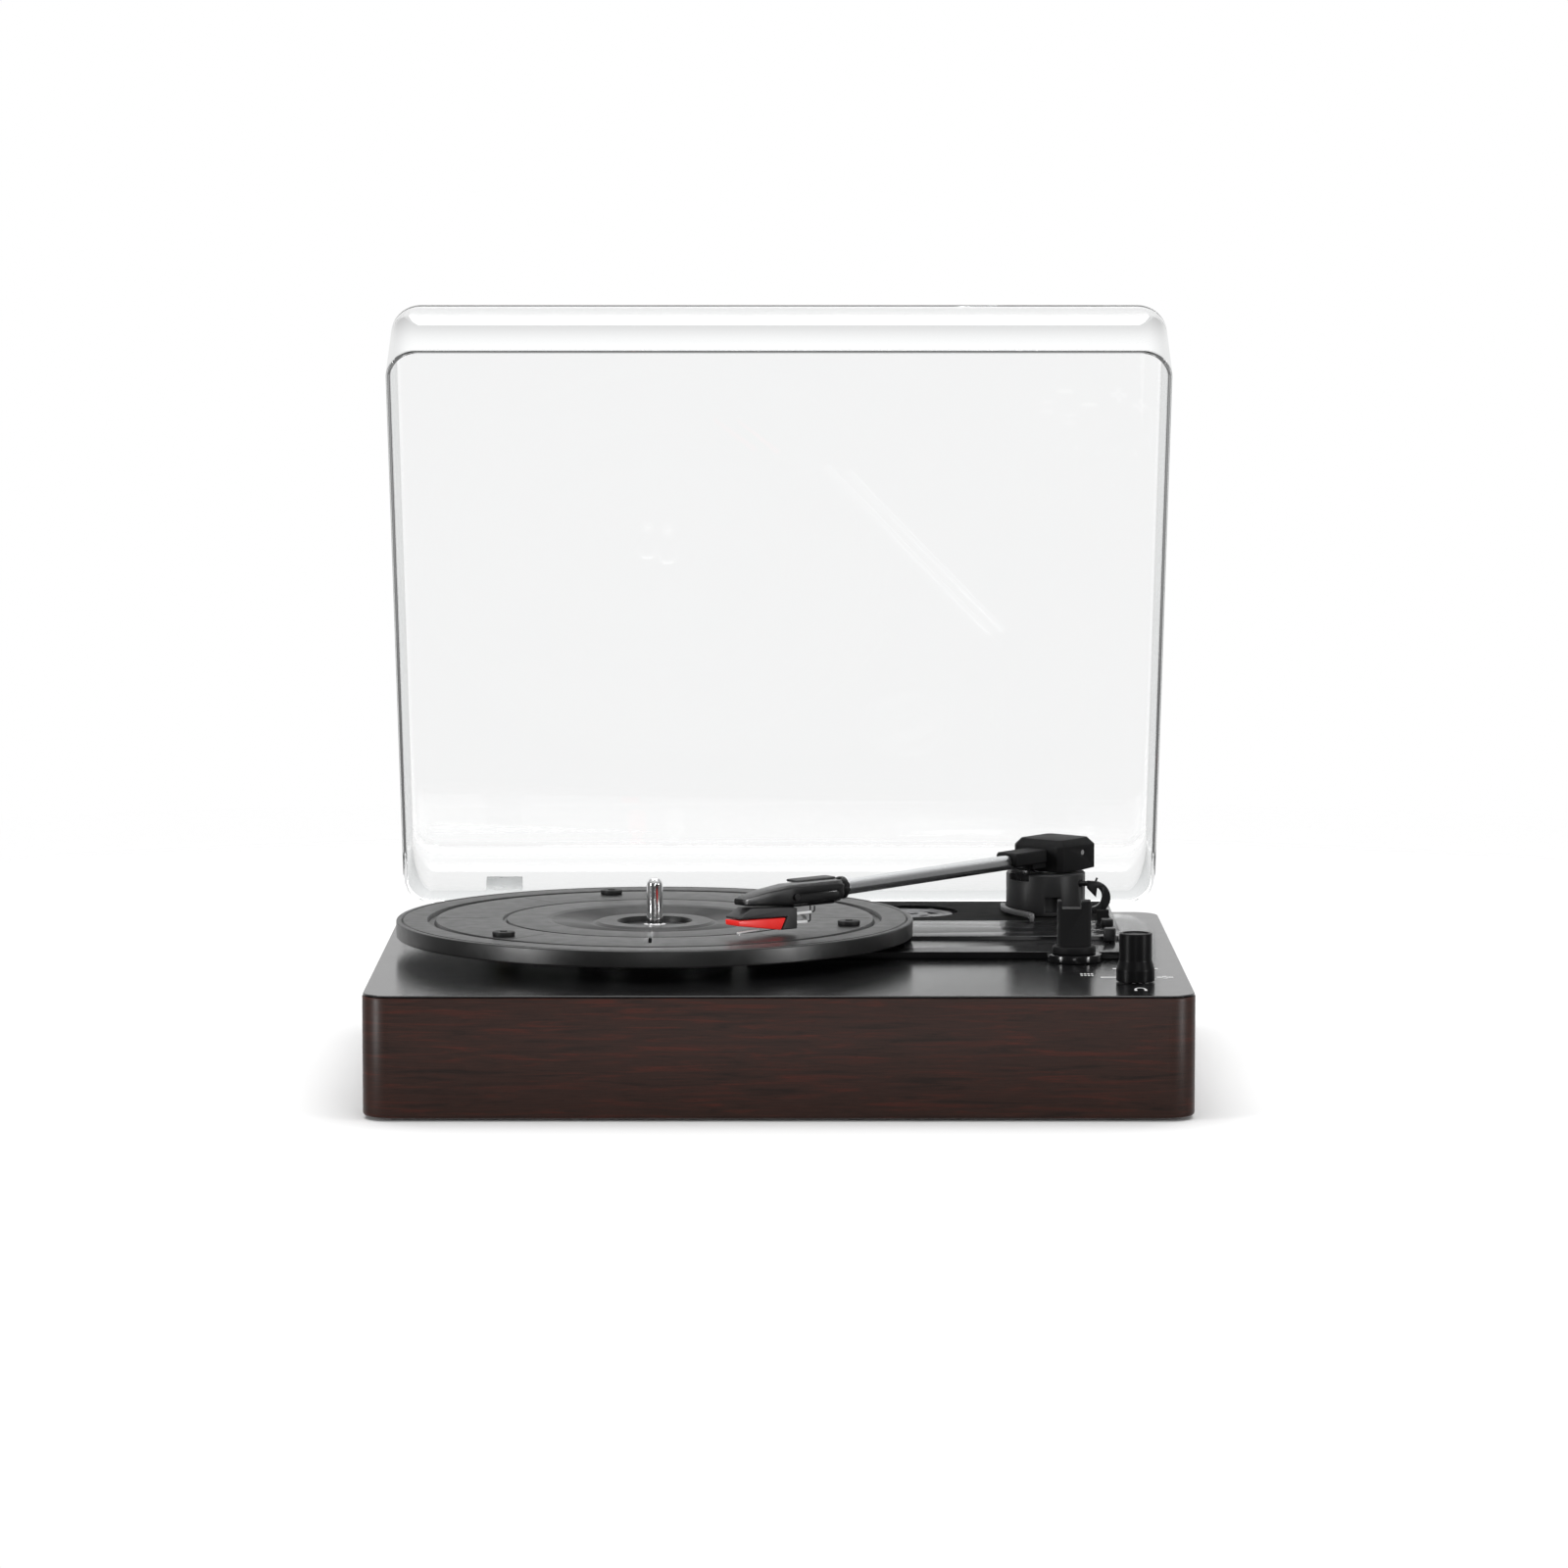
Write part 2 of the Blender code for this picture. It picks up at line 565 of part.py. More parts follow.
def build_switches():
    z = TOP + DECK_HIGH + GAP
    cap = softened(box(144.4 * MM, 46 * MM, z, 149.8 * MM, 52 * MM, z + 3.2 * MM), 0.4 * MM, 1)
    stem = box(146.7 * MM, 48 * MM, TOP + 2.4 * MM, 147.5 * MM, 50 * MM, z + 1 * MM)
    finish("speed_lever", cut(cap, [stem], "UNION"), "satin_black", (147.1 * MM, 49 * MM, z))
    z = TOP + DECK_LOW + GAP
    cap = softened(box(143.5 * MM, 5.2 * MM, z, 148.7 * MM, 10.2 * MM, z + 6.0 * MM), 0.4 * MM, 1)
    stem = box(145.7 * MM, 6.7 * MM, TOP + 1.8 * MM, 146.5 * MM, 8.7 * MM, z + 1 * MM)
    finish("auto_stop_lever", cut(cap, [stem], "UNION"), "satin_black", (146.1 * MM, 7.7 * MM, z))


# ---------------------------------------------------------------- the tonearm


def arm_point(distance, across=0.0, z=0.0):
    c, s = math.cos(ARM_ANGLE), math.sin(ARM_ANGLE)
    return Vector((ARM_AT[0] + distance * c - across * s, ARM_AT[1] + distance * s + across * c, TOP + z))


def shell_frame():
    at = arm_point(COLLAR_AT)
    return Matrix.Translation((at.x, at.y, TOP)) @ Matrix.Rotation(SHELL_ANGLE, 4, "Z")


def build_column():
    base = TOP + DECK_HIGH + GAP
    top = TOP + COLUMN_TOP
    profile = [(0, base), (COLUMN_R - 0.4 * MM, base), (COLUMN_R, base + 0.4 * MM),
               (COLUMN_R, top - 0.6 * MM), (COLUMN_R - 0.6 * MM, top), (0, top)]
    shell = lathe(profile, 56, ARM_AT)
    notch = sector(14.5 * MM, 22 * MM, 266, 290, 6)
    pocket = sector(14.9 * MM, 16.6 * MM, 203, 242, 10)
    mouth = sector(16.4 * MM, 20 * MM, 203, 242, 10)
    shaft = turned(rod(1.6 * MM, 0, 16 * MM, 20), facing_right(131 * MM, LEVER_AT[1], TOP + LEVER_AT[2]))
    tools = [
        prism(circle(*ARM_AT, 5.4 * MM, 32), TOP + 10 * MM, top + 1 * MM),
        prism(notch, TOP + 7.2 * MM, TOP + 14.2 * MM),
        prism(pocket, TOP + 15.8 * MM, top + 1 * MM),
        prism(mouth, TOP + 21.3 * MM, top + 1 * MM),
        shaft,
    ]
    finish("arm_column", cut(shell, tools), "satin_black", (*ARM_AT, TOP))

    # The lifter is a curved wall in the column's pocket with a lip over the column's edge.
    wall = prism(sector(15.2 * MM, 16.3 * MM, 204, 241, 10), TOP + 18.8 * MM, TOP + 26.6 * MM)
    lip = prism(sector(15.2 * MM, 17.9 * MM, 204, 241, 10), TOP + 24.3 * MM, TOP + 26.5 * MM)
    finish("lifter", cut(wall, [lip], "UNION"), "satin_black", (*ARM_AT, TOP))

    # The trip lever is a level curved strip whose far end has a foot on the deck.
    path = [(102.3, 103), (102.0, 95), (103.4, 87), (106.3, 79.5), (110.0, 73.5), (112.8, 68), (114.0, 63)]
    bm = bmesh.new()
    rings = []
    for i, (x, y) in enumerate(path):
        before, after = Vector(path[max(i - 1, 0)]), Vector(path[min(i + 1, len(path) - 1)])
        side = (after - before).normalized() * 1.1
        ring = []
        for sign, z in ((-1, 6.6), (1, 6.6), (1, 8.9), (-1, 8.9)):
            ring.append(bm.verts.new(((x - sign * side.y) * MM, (y + sign * side.x) * MM, TOP + z * MM)))
        rings.append(ring)
    for a, b in zip(rings, rings[1:]):
        for i in range(4):
            j = (i + 1) % 4
            bm.faces.new((a[i], a[j], b[j], b[i]))
    bm.faces.new(rings[0][::-1])
    bm.faces.new(rings[-1])
    foot = box(113.0 * MM, 62.4 * MM, TOP + DECK_HIGH + GAP, 114.8 * MM, 64.8 * MM, TOP + 7.5 * MM)
    finish("trip_lever", cut(bm, [foot], "UNION"), "steel")


def build_yaw():
    t = TOP
    post = turned(rod(5.0 * MM, t + 10.4 * MM, t + 24.9 * MM, 32), Matrix.Translation((*ARM_AT, 0)))
    tongue = box(-12 * MM, -2.6 * MM, t + 24.5 * MM, 2 * MM, 2.6 * MM, t + 35 * MM)
    tongue = turned(tongue, along(ARM_ANGLE, ARM_AT))
    hole = lying([(0, -6 * MM), (1.5 * MM, -6 * MM), (1.5 * MM, 6 * MM), (0, 6 * MM)], 20,
                 ARM_ANGLE + math.pi / 2, arm_point(-TILT_BACK_SET)[:2], t + TILT_Z)
    finish("yaw_post", cut(cut(post, [tongue], "UNION"), [hole]), "steel", (*ARM_AT, t))

    half = BLOCK_SIDE / 2
    x0, x1 = -BLOCK_BACK_SET - half, -BLOCK_BACK_SET + half
    low = t + 25.0 * MM
    c = BLOCK_CORNER
    outline = [(x0 + c, -half), (x1 - c, -half), (x1, -half + c), (x1, half - c),
               (x1 - c, half), (x0 + c, half), (x0, half - c), (x0, -half + c)]
    block = prism(outline, low, t + BLOCK_TOP, 2.5 * MM, 3.0 * MM)
    hood_side = [(x1 - 3 * MM, t + 29 * MM), (HOOD_END, t + 29 * MM), (HOOD_END, t + 34.2 * MM),
                 (HOOD_END - 1.2 * MM, t + 35.2 * MM), (x1 - 3 * MM, t + 35.2 * MM)]
    hood = softened(side_prism(hood_side, 6.05 * MM), 0.7 * MM, 1, 50)
    body = cut(block, [hood], "UNION")
    tools = [
        turned(box(-20 * MM, -20 * MM, -6 * MM, 0, 20 * MM, 0),
               Matrix.Translation((-TILT_BACK_SET, 0, low)) @ Matrix.Rotation(math.radians(3), 4, "Y")),
        box(-15.3 * MM, -3.2 * MM, t + 20 * MM, 4.6 * MM, 3.2 * MM, t + 35.8 * MM),
        turned(rod(TUBE_R + GAP, 9 * MM, 40 * MM, 28), facing_right(0, 0, t + ARM_Z)),
        turned(rod(1.5 * MM, -half + 2 * MM, half + 2 * MM, 20), facing_back(-TILT_BACK_SET, 0, t + TILT_Z)),
        box(-6.5 * MM, -6 * MM, t + 20 * MM, 6 * MM, 6 * MM, low + 0.7 * MM),
    ]
    pivot = arm_point(-TILT_BACK_SET, 0, TILT_Z)
    finish("pivot_block", turned(cut(body, tools), along(ARM_ANGLE, ARM_AT)), "satin_black", pivot)

    ends = (-half + 2.6 * MM, half - 0.2 * MM)
    pin = [(0, ends[0]), (1.2 * MM, ends[0]), (1.2 * MM, ends[1]), (0, ends[1])]
    finish("pivot_pin", lying(pin, 20, ARM_ANGLE + math.pi / 2, pivot[:2], t + TILT_Z), "chrome", pivot)
    return pivot


def build_arm(pivot):
    t = TOP
    outer, inner = TUBE_R, 2.5 * MM
    ends = (9.6 * MM, COLLAR_AT - 0.3 * MM)
    tube = [(inner, ends[0]), (outer, ends[0]), (outer, ends[1]), (inner, ends[1])]
    finish("tonearm_tube", lying(tube, 32, ARM_ANGLE, ARM_AT, t + ARM_Z), "aluminium", pivot)

    at = arm_point(COLLAR_AT)
    ring = [(0, 0.4 * MM), (4.4 * MM, 0.4 * MM), (5.0 * MM, 1.0 * MM), (5.0 * MM, 2.6 * MM),
            (4.4 * MM, 3.2 * MM), (0, 3.2 * MM)]
    finish("arm_collar", lying(ring, 32, SHELL_ANGLE, at[:2], t + ARM_Z), "satin_black", pivot)

    # The shell widens from a round neck and then narrows to a wedge-shaped tip.
    frame = shell_frame()
    shell = lofted([
        (3.5, 30.6, 4.6, 4.3, 2.2), (5.5, 30.3, 5.4, 4.5, 1.8), (8.0, 30.3, 5.6, 4.5, 1.5),
        (34.0, 30.2, 5.0, 4.6, 1.3), (48.0, 29.9, 4.1, 3.3, 1.0), (57.0, 29.3, 3.6, 2.1, 0.7),
        (59.6, 29.0, 3.4, 1.3, 0.4),
    ])
    ribs = prism([(9 * MM, -4 * MM), (32.2 * MM, -3.6 * MM), (32.2 * MM, 3.6 * MM), (9 * MM, 4 * MM)],
                 24.9 * MM, 27 * MM)
    groove = prism([(8 * MM, 5.1 * MM), (28 * MM, 4.65 * MM), (28 * MM, 9 * MM), (8 * MM, 9 * MM)],
                   30.1 * MM, 30.8 * MM)
    shell = cut(cut(shell, [ribs], "UNION"), [groove])
    finish("headshell", turned(shell, frame), "charcoal", pivot)

    tab = prism(rounded(1.5 * MM, -11 * MM, 24.5 * MM, -3 * MM, 1.6 * MM, 4), 35.2 * MM, 36.3 * MM)
    finish("finger_lift", turned(softened(tab, 0.3 * MM, 1, 50), frame), "charcoal", pivot)

    screw = [(0, 0), (1.5 * MM, 0), (1.5 * MM, 0.5 * MM), (1.2 * MM, 0.7 * MM), (0, 0.7 * MM)]
    screw = turned(lathe(screw, 20), frame @ facing_back(31.6 * MM, 5.4 * MM, 29.4 * MM))
    finish("shell_screw", screw, "satin_black", pivot)


def lofted(sections):
    """A body through sections given as (distance, centre height, half width, half height, corner cut)."""
    bm = bmesh.new()
    rings = []
    for s, z, wide, tall, c in sections:
        outline = [(-wide, -tall + c), (-wide + c, -tall), (wide - c, -tall), (wide, -tall + c),
                   (wide, tall - c), (wide - c, tall), (-wide + c, tall), (-wide, tall - c)]
        rings.append([bm.verts.new((s * MM, y * MM, (z + h) * MM)) for y, h in outline])
    for a, b in zip(rings, rings[1:]):
        for i in range(len(a)):
            j = (i + 1) % len(a)
            bm.faces.new((a[i], a[j], b[j], b[i]))
    bm.faces.new(rings[0][::-1])
    bm.faces.new(rings[-1])
    return bm


def build_cartridge(pivot):
    frame = shell_frame()
    side = [(30.6, 15.6), (39.2, 15.7), (36.3, 21.2), (63.4, 22.0), (63.4, 22.8), (56.4, 26.3),
            (33.4, 25.2), (30.6, 24.5)]
    body = side_prism([(s * MM, z * MM) for s, z in side], 4.8 * MM)
    finish("cartridge_body", turned(softened(body, 0.4 * MM, 1, 50), frame), "charcoal", pivot)

    side = [(39.7, 15.7), (63.5, 19.2), (63.8, 21.6), (36.8, 20.8)]
    holder = side_prism([(s * MM, z * MM) for s, z in side], 4.5 * MM)
    finish("stylus_holder", turned(softened(holder, 0.3 * MM, 1, 50), frame), "red", pivot)

    across = (frame.to_3x3() @ Vector((0, 1, 0))).normalized()
    way = [frame @ Vector((x * MM, 0, z * MM)) for x, z in ((48.8, 16.1), (54.8, 15.9), (60.6, 15.6))]
    arm = tube_along(way, 0.42 * MM, 10, across)
    tip = frame @ Vector((59.4 * MM, 0, 0))
    cone = lathe([(0, TOP + 14.3 * MM), (0.28 * MM, TOP + 14.9 * MM), (0.28 * MM, TOP + 15.6 * MM),
                  (0, TOP + 15.6 * MM)], 10, (tip.x, tip.y))
    finish("cantilever", cut(arm, [cone], "UNION"), "aluminium", pivot)

    for i, (z, length, side) in enumerate(((21.9, 9.2, 2.4), (17.6, 8.3, 0.6))):
        back = Matrix.Translation((30.3 * MM, side * MM, z * MM)) @ Matrix.Rotation(-math.pi / 2, 4, "Y")
        clip = turned(rod(0.7 * MM, 0, length * MM, 12), frame @ back)
        finish("cartridge_clip_%d" % (i + 1), clip, "chrome", pivot)
        x0 = 30.3 - length - 0.3
        reach, bend = 0.9, 0.9
        way = [(x0, side, z)]
        for turn in (0, 22.5, 45, 67.5, 90):
            a = math.radians(turn)
            way.append((x0 - reach - bend * math.sin(a), side, z + bend * (1 - math.cos(a))))
        way.append((x0 - reach - bend, side, 24.4))
        way = [frame @ (Vector(point) * MM) for point in way]
        lead = tube_along(way, 0.3 * MM, 8, across)
        finish("cartridge_lead_%d" % (i + 1), lead, "rubber", pivot)


def build_rest_and_lever():
    x, y = REST_AT
    t = TOP
    collar = lathe([(0, t + DECK_LOW + GAP), (9.5 * MM, t + DECK_LOW + GAP), (9.5 * MM, t + 6.4 * MM),
                    (9.0 * MM, t + 6.9 * MM), (0, t + 6.9 * MM)], 40, REST_AT)
    w = 7.3 * MM
    body = prism(rounded(x - w, y - 4.2 * MM, x + w, y + 4.2 * MM, 1.2 * MM, 3), t + 5 * MM, t + REST_PRONG)
    cradle = box(x - w + 1.8 * MM, y - 9 * MM, t + REST_CRADLE, x + w - 4.4 * MM, y + 9 * MM, t + 40 * MM)
    finish("arm_rest", cut(cut(collar, [body], "UNION"), [cradle]), "satin_black", (x, y, t))

    # The lever is a broad curved hook. A three-cornered web joins it to its cross shaft.
    lx, ly, lz = LEVER_AT
    outer = arc(143.2 * MM, 13.3 * MM, 7.4 * MM, -98, 86, 26)
    inner = arc(141.8 * MM, 13.8 * MM, 4.9 * MM, 56, -86, 20)
    web = [(139.9 * MM, 20.9 * MM), (139.9 * MM, 17.6 * MM), (144.0 * MM, 13.4 * MM)]
    flat = Matrix.Translation((0, ly, t)) @ Matrix.Rotation(math.pi / 2, 4, "X")
    blade = turned(prism(outer + web + inner, -1.7 * MM, 1.7 * MM), flat)
    shaft = turned(rod(1.2 * MM, 0, 9.6 * MM, 20), facing_right(131.6 * MM, ly, t + lz))
    spur = Matrix.Translation((143.3 * MM, ly, t + 19 * MM)) @ Matrix.Rotation(math.radians(20), 4, "Y")
    spur = turned(rod(0.5 * MM, 0, 3.5 * MM, 10), spur)
    finish("cue_lever", cut(blade, [shaft, spur], "UNION"), "satin_black", (lx, ly, t + lz))


# ---------------------------------------------------------------- the dust cover


def opened():
    """Turns a closed-lid point set about the hinge so that the front swings up."""
    y, z = HINGE_AT
    to_axis = Matrix.Translation((0, y, z))
    return to_axis @ Matrix.Rotation(-LID_OPEN, 4, "X") @ to_axis.inverted()


def build_lid():
    w = LID_W / 2
    z0 = TOP + 0.4 * MM
    z1 = z0 + LID_TALL
    wall = LID_WALL

    def loop(inset, z, steps=8):
        r = LID_R - inset
        outline = rounded(-w + inset, LID_FRONT + inset, w - inset, LID_BACK - inset, r, steps)
        return [(x, y, z) for x, y in outline]

    # The outer skin curves over into the roof, and the inner skin follows it.
    edge = 5 * MM
    levels = [loop(0, z0), loop(0, z1 - edge)]
    for turn in (30, 60):
        a = math.radians(turn)
        levels.append(loop(edge * (1 - math.cos(a)), z1 - edge + edge * math.sin(a)))
    levels.append(loop(edge, z1))
    inner_edge = edge - wall
    inside = [loop(edge, z1 - wall)]
    for turn in (60, 30):
        a = math.radians(turn)
        inside.append(loop(wall + inner_edge * (1 - math.cos(a)), z1 - edge + inner_edge * math.sin(a)))
    inside += [loop(wall, z1 - edge), loop(wall, z0)]
    bm = bmesh.new()
    outer_rings = [[bm.verts.new(p) for p in level] for level in levels]
    inner_rings = [[bm.verts.new(p) for p in level] for level in inside]
    for rows in (outer_rings, inner_rings, [inner_rings[-1], outer_rings[0]]):
        for a, b in zip(rows, rows[1:]):
            for i in range(len(a)):
                j = (i + 1) % len(a)
                bm.faces.new((a[i], a[j], b[j], b[i]))
    bm.faces.new(outer_rings[-1])
    bm.faces.new(inner_rings[0][::-1])
    hinge = (0, HINGE_AT[0], HINGE_AT[1])
    finish("dust_cover", turned(bm, opened()), "clear", hinge)

    hy, hz = HINGE_AT
    for side, x in (("left", -HINGE_X), ("right", HINGE_X)):
        y0 = LID_BACK + GAP
        pocket = box(x - 8.4 * MM, y0, z0 + 1.5 * MM, x + 8.4 * MM, y0 + 3.6 * MM, z0 + 24 * MM)
        knuckle = turned(rod(3.4 * MM, -3.6 * MM, 3.6 * MM, 24), facing_right(x, hy, hz))
        strap = box(x - 3.6 * MM, y0 + 1.0 * MM, hz + 1 * MM, x + 3.6 * MM, y0 + 3.0 * MM, z0 + 3 * MM)
        bore = turned(rod(1.6 * MM, -20 * MM, 20 * MM, 20), facing_right(x, hy, hz))
        groove = box(x - 1.3 * MM, y0 + 2.6 * MM, z0 - 1 * MM, x + 1.3 * MM, y0 + 9 * MM, z0 + 17 * MM)
        moving = cut(cut(pocket, [knuckle, strap], "UNION"), [bore, groove])
        finish("lid_hinge_" + side, turned(moving, opened()), "pale_grey", (x, hy, hz))

        back = PLINTH_D / 2
        plate = box(x - 10 * MM, back + GAP, hz - 22 * MM, x + 10 * MM, back + 2.4 * MM, hz + 3.4 * MM)
        arms = []
        for x0 in (x - 10 * MM, x + 4 * MM):
            arms.append(box(x0, back + 1 * MM, hz - 3.4 * MM, x0 + 6 * MM, hy, hz + 3.4 * MM))
            arms.append(turned(rod(3.4 * MM, 0, 6 * MM, 24), facing_right(x0, hy, hz)))
        pin = turned(rod(1.3 * MM, -6 * MM, 6 * MM, 20), facing_right(x, hy, hz))
        finish("hinge_bracket_" + side, cut(plate, arms + [pin], "UNION"), "satin_black", (x, hy, hz))


def build_sockets():
    back = PLINTH_D / 2
    z = SOCKET_Z
    plate = box(-118 * MM, back + GAP, z - 13 * MM, -32 * MM, back + 2.3 * MM, z + 13 * MM)
    plate = softened(plate, 0.5 * MM, 1)
    holes = []
    for x, r in ((-50, 4.6), (-68, 4.6), (-100, 4.1)):
        holes.append(turned(rod(r * MM, -9 * MM, 9 * MM, 28), facing_back(x * MM, back, z)))
    finish("terminal_plate", cut(plate, holes), "matte_black")

    def jack(name, kind, profile, frame):
        finish(name, turned(lathe([(r * MM, h * MM) for r, h in profile], 20), frame), kind)

    rca = [(0, -12), (3.6, -12), (3.6, -2), (4.3, -2), (4.3, 8.6), (3.9, 9), (1.6, 9), (1.6, 2), (0, 2)]
    jack("rca_jack_left", "jack_white", rca, facing_back(-50 * MM, back + 0.4 * MM, z))
    jack("rca_jack_right", "red", rca, facing_back(-68 * MM, back + 0.4 * MM, z))
    power = [(0, -12), (3.8, -12), (3.8, 2.9), (3.5, 3.2), (2.8, 3.2), (2.8, -6), (1.0, -6), (1.0, 2), (0, 2)]
    jack("dc_jack", "satin_black", power, facing_back(-100 * MM, back + 0.2 * MM, z))
    phones = [(0, -13), (3.9, -13), (3.9, 0.6), (3.6, 0.9), (1.9, 0.9), (1.9, -10), (0, -10)]
    jack("headphone_jack", "satin_black", phones, facing_right(PLINTH_W / 2 - 1 * MM, -115 * MM, z + 7 * MM))


def centre_assembly():
    """Moves everything together so that the whole outline is centred on the origin."""
    for made in bpy.context.scene.collection.objects:
        made.location.y += SHIFT_Y


clear_scene()
build_plinth()
build_deck()
build_platter()
build_drive()
build_inside()
build_knob()
build_switches()
build_column()
tilt_axis = build_yaw()
build_arm(tilt_axis)
build_cartridge(tilt_axis)
build_rest_and_lever()
build_lid()
build_sockets()
centre_assembly()
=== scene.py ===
"""Looks for the belt-drive turntable: finer pieces, procedural materials, studio and camera."""

import json
import math

import bmesh
import bpy
from mathutils import Matrix, Vector


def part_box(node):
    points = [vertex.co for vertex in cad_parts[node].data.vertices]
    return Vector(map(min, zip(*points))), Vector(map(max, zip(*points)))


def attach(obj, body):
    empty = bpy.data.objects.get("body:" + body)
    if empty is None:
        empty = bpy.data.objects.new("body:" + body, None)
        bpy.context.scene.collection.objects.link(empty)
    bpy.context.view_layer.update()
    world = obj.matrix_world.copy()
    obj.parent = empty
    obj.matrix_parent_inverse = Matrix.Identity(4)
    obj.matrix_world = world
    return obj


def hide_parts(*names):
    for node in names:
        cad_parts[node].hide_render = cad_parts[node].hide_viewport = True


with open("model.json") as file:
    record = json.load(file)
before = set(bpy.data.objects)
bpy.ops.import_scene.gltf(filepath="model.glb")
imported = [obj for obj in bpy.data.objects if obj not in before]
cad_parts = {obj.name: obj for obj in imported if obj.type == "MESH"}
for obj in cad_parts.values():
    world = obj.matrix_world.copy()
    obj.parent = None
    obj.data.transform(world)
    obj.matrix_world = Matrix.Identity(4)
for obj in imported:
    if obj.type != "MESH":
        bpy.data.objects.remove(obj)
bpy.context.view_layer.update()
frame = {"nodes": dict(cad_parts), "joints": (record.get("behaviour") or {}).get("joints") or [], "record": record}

NODES = frame["nodes"]
JOINTS = {joint["name"]: joint for joint in frame["joints"]}
MM = 0.001


# ------------------------------------------------------------ reference points

PLATE_LOW, PLATE_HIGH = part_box("top_plate")
TOP = PLATE_HIGH.z
MID_Y = (PLATE_LOW.y + PLATE_HIGH.y) / 2
PLATTER = Vector(JOINTS["platter_spin"]["pos_m"])
ARM = Vector(JOINTS["arm_yaw"]["pos_m"])
KNOB = Vector(JOINTS["volume_turn"]["pos_m"])
LID_AXIS = Vector(JOINTS["lid_hinge"]["pos_m"])
ARM_ANGLE = math.radians(231)


# ------------------------------------------------------------ node materials

# Light that has met more surfaces than this is taken as having gone the long way through the lid.
LONG_PATH = 3.5


class Tree:
    """A small helper that builds and links shader nodes."""

    def __init__(self, tree):
        self.tree = tree

    def add(self, kind, **settings):
        node = self.tree.nodes.new(kind)
        for key, value in settings.items():
            setattr(node, key, value)
        return node

    def link(self, out, to):
        self.tree.links.new(out, to)

    def remap(self, value, low, high, to_low=0.0, to_high=1.0, **settings):
        node = self.add("ShaderNodeMapRange", **settings)
        for key, number in (("From Min", low), ("From Max", high), ("To Min", to_low), ("To Max", to_high)):
            node.inputs[key].default_value = number
        self.link(value, node.inputs["Value"])
        return node.outputs["Result"]

    def maths(self, operation, a, b=0.0):
        node = self.add("ShaderNodeMath", operation=operation)
        for socket, value in zip(node.inputs, (a, b)):
            if isinstance(value, (int, float)):
                socket.default_value = value
            else:
                self.link(value, socket)
        return node.outputs["Value"]

    def shader_mix(self, factor, a, b):
        node = self.add("ShaderNodeMixShader")
        self.link(factor, node.inputs["Fac"])
        self.link(a, node.inputs[1])
        self.link(b, node.inputs[2])
        return node.outputs["Shader"]


class Nodes(Tree):
    """One procedural material."""

    def __init__(self, name):
        self.material = bpy.data.materials.new(name)
        self.material.use_nodes = True
        super().__init__(self.material.node_tree)
        self.shader = self.tree.nodes["Principled BSDF"]
        self.output = self.tree.nodes["Material Output"]
        self.place = self.add("ShaderNodeTexCoord").outputs["Object"]

    def set(self, **values):
        for key, value in values.items():
            self.shader.inputs[key.replace("_", " ")].default_value = value

    def stretched(self, scale):
        node = self.add("ShaderNodeMapping")
        node.inputs["Scale"].default_value = scale
        self.link(self.place, node.inputs["Vector"])
        return node.outputs["Vector"]

    def noise(self, scale, detail=3.0, rough=0.5, source=None, distortion=0.0):
        node = self.add("ShaderNodeTexNoise")
        node.inputs["Scale"].default_value = scale
        node.inputs["Detail"].default_value = detail
        node.inputs["Roughness"].default_value = rough
        node.inputs["Distortion"].default_value = distortion
        self.link(source or self.place, node.inputs["Vector"])
        return node.outputs["Fac"]

    def mix(self, factor, a, b):
        node = self.add("ShaderNodeMix", data_type="RGBA")
        self.link(factor, node.inputs["Factor"])
        for socket, value in ((node.inputs["A"], a), (node.inputs["B"], b)):
            if isinstance(value, tuple):
                socket.default_value = (*value, 1)
            else:
                self.link(value, socket)
        return node.outputs["Result"]

    def colour(self, out):
        self.link(out, self.shader.inputs["Base Color"])

    def roughness(self, value, low, high):
        self.link(self.remap(value, 0.3, 0.7, low, high), self.shader.inputs["Roughness"])

    def bump(self, height, distance, strength=1.0):
        node = self.add("ShaderNodeBump")
        node.inputs["Strength"].default_value = strength
        node.inputs["Distance"].default_value = distance
        self.link(height, node.inputs["Height"])
        self.link(node.outputs["Normal"], self.shader.inputs["Normal"])


def moulded(name, dark, light, rough, grain=2600, bump=0.00001, spread=60, **sockets):
    """A moulded or painted surface: cloudy colour, fine grain and uneven gloss."""
    made = Nodes(name)
    cloud = made.noise(spread, 4)
    fine = made.noise(grain, 2)
    made.colour(made.mix(made.remap(made.maths("ADD", cloud, fine), 0.75, 1.25), dark, light))
    made.roughness(made.noise(spread * 2.5, 3), *rough)
    made.bump(fine, bump)
    made.set(**sockets)
    return made.material


def metal(name, dark, light, rough, along=None, bump=0.000004, **sockets):
    """Metal with a faint lengthwise or even grain."""
    made = Nodes(name)
    source = made.stretched(along) if along else None
    grain = made.noise(1.0 if along else 900, 3, source=source)
    made.colour(made.mix(made.remap(grain, 0.3, 0.7), dark, light))
    made.roughness(grain, *rough)
    made.bump(grain, bump)
    made.set(Metallic=1.0, **sockets)
    return made.material


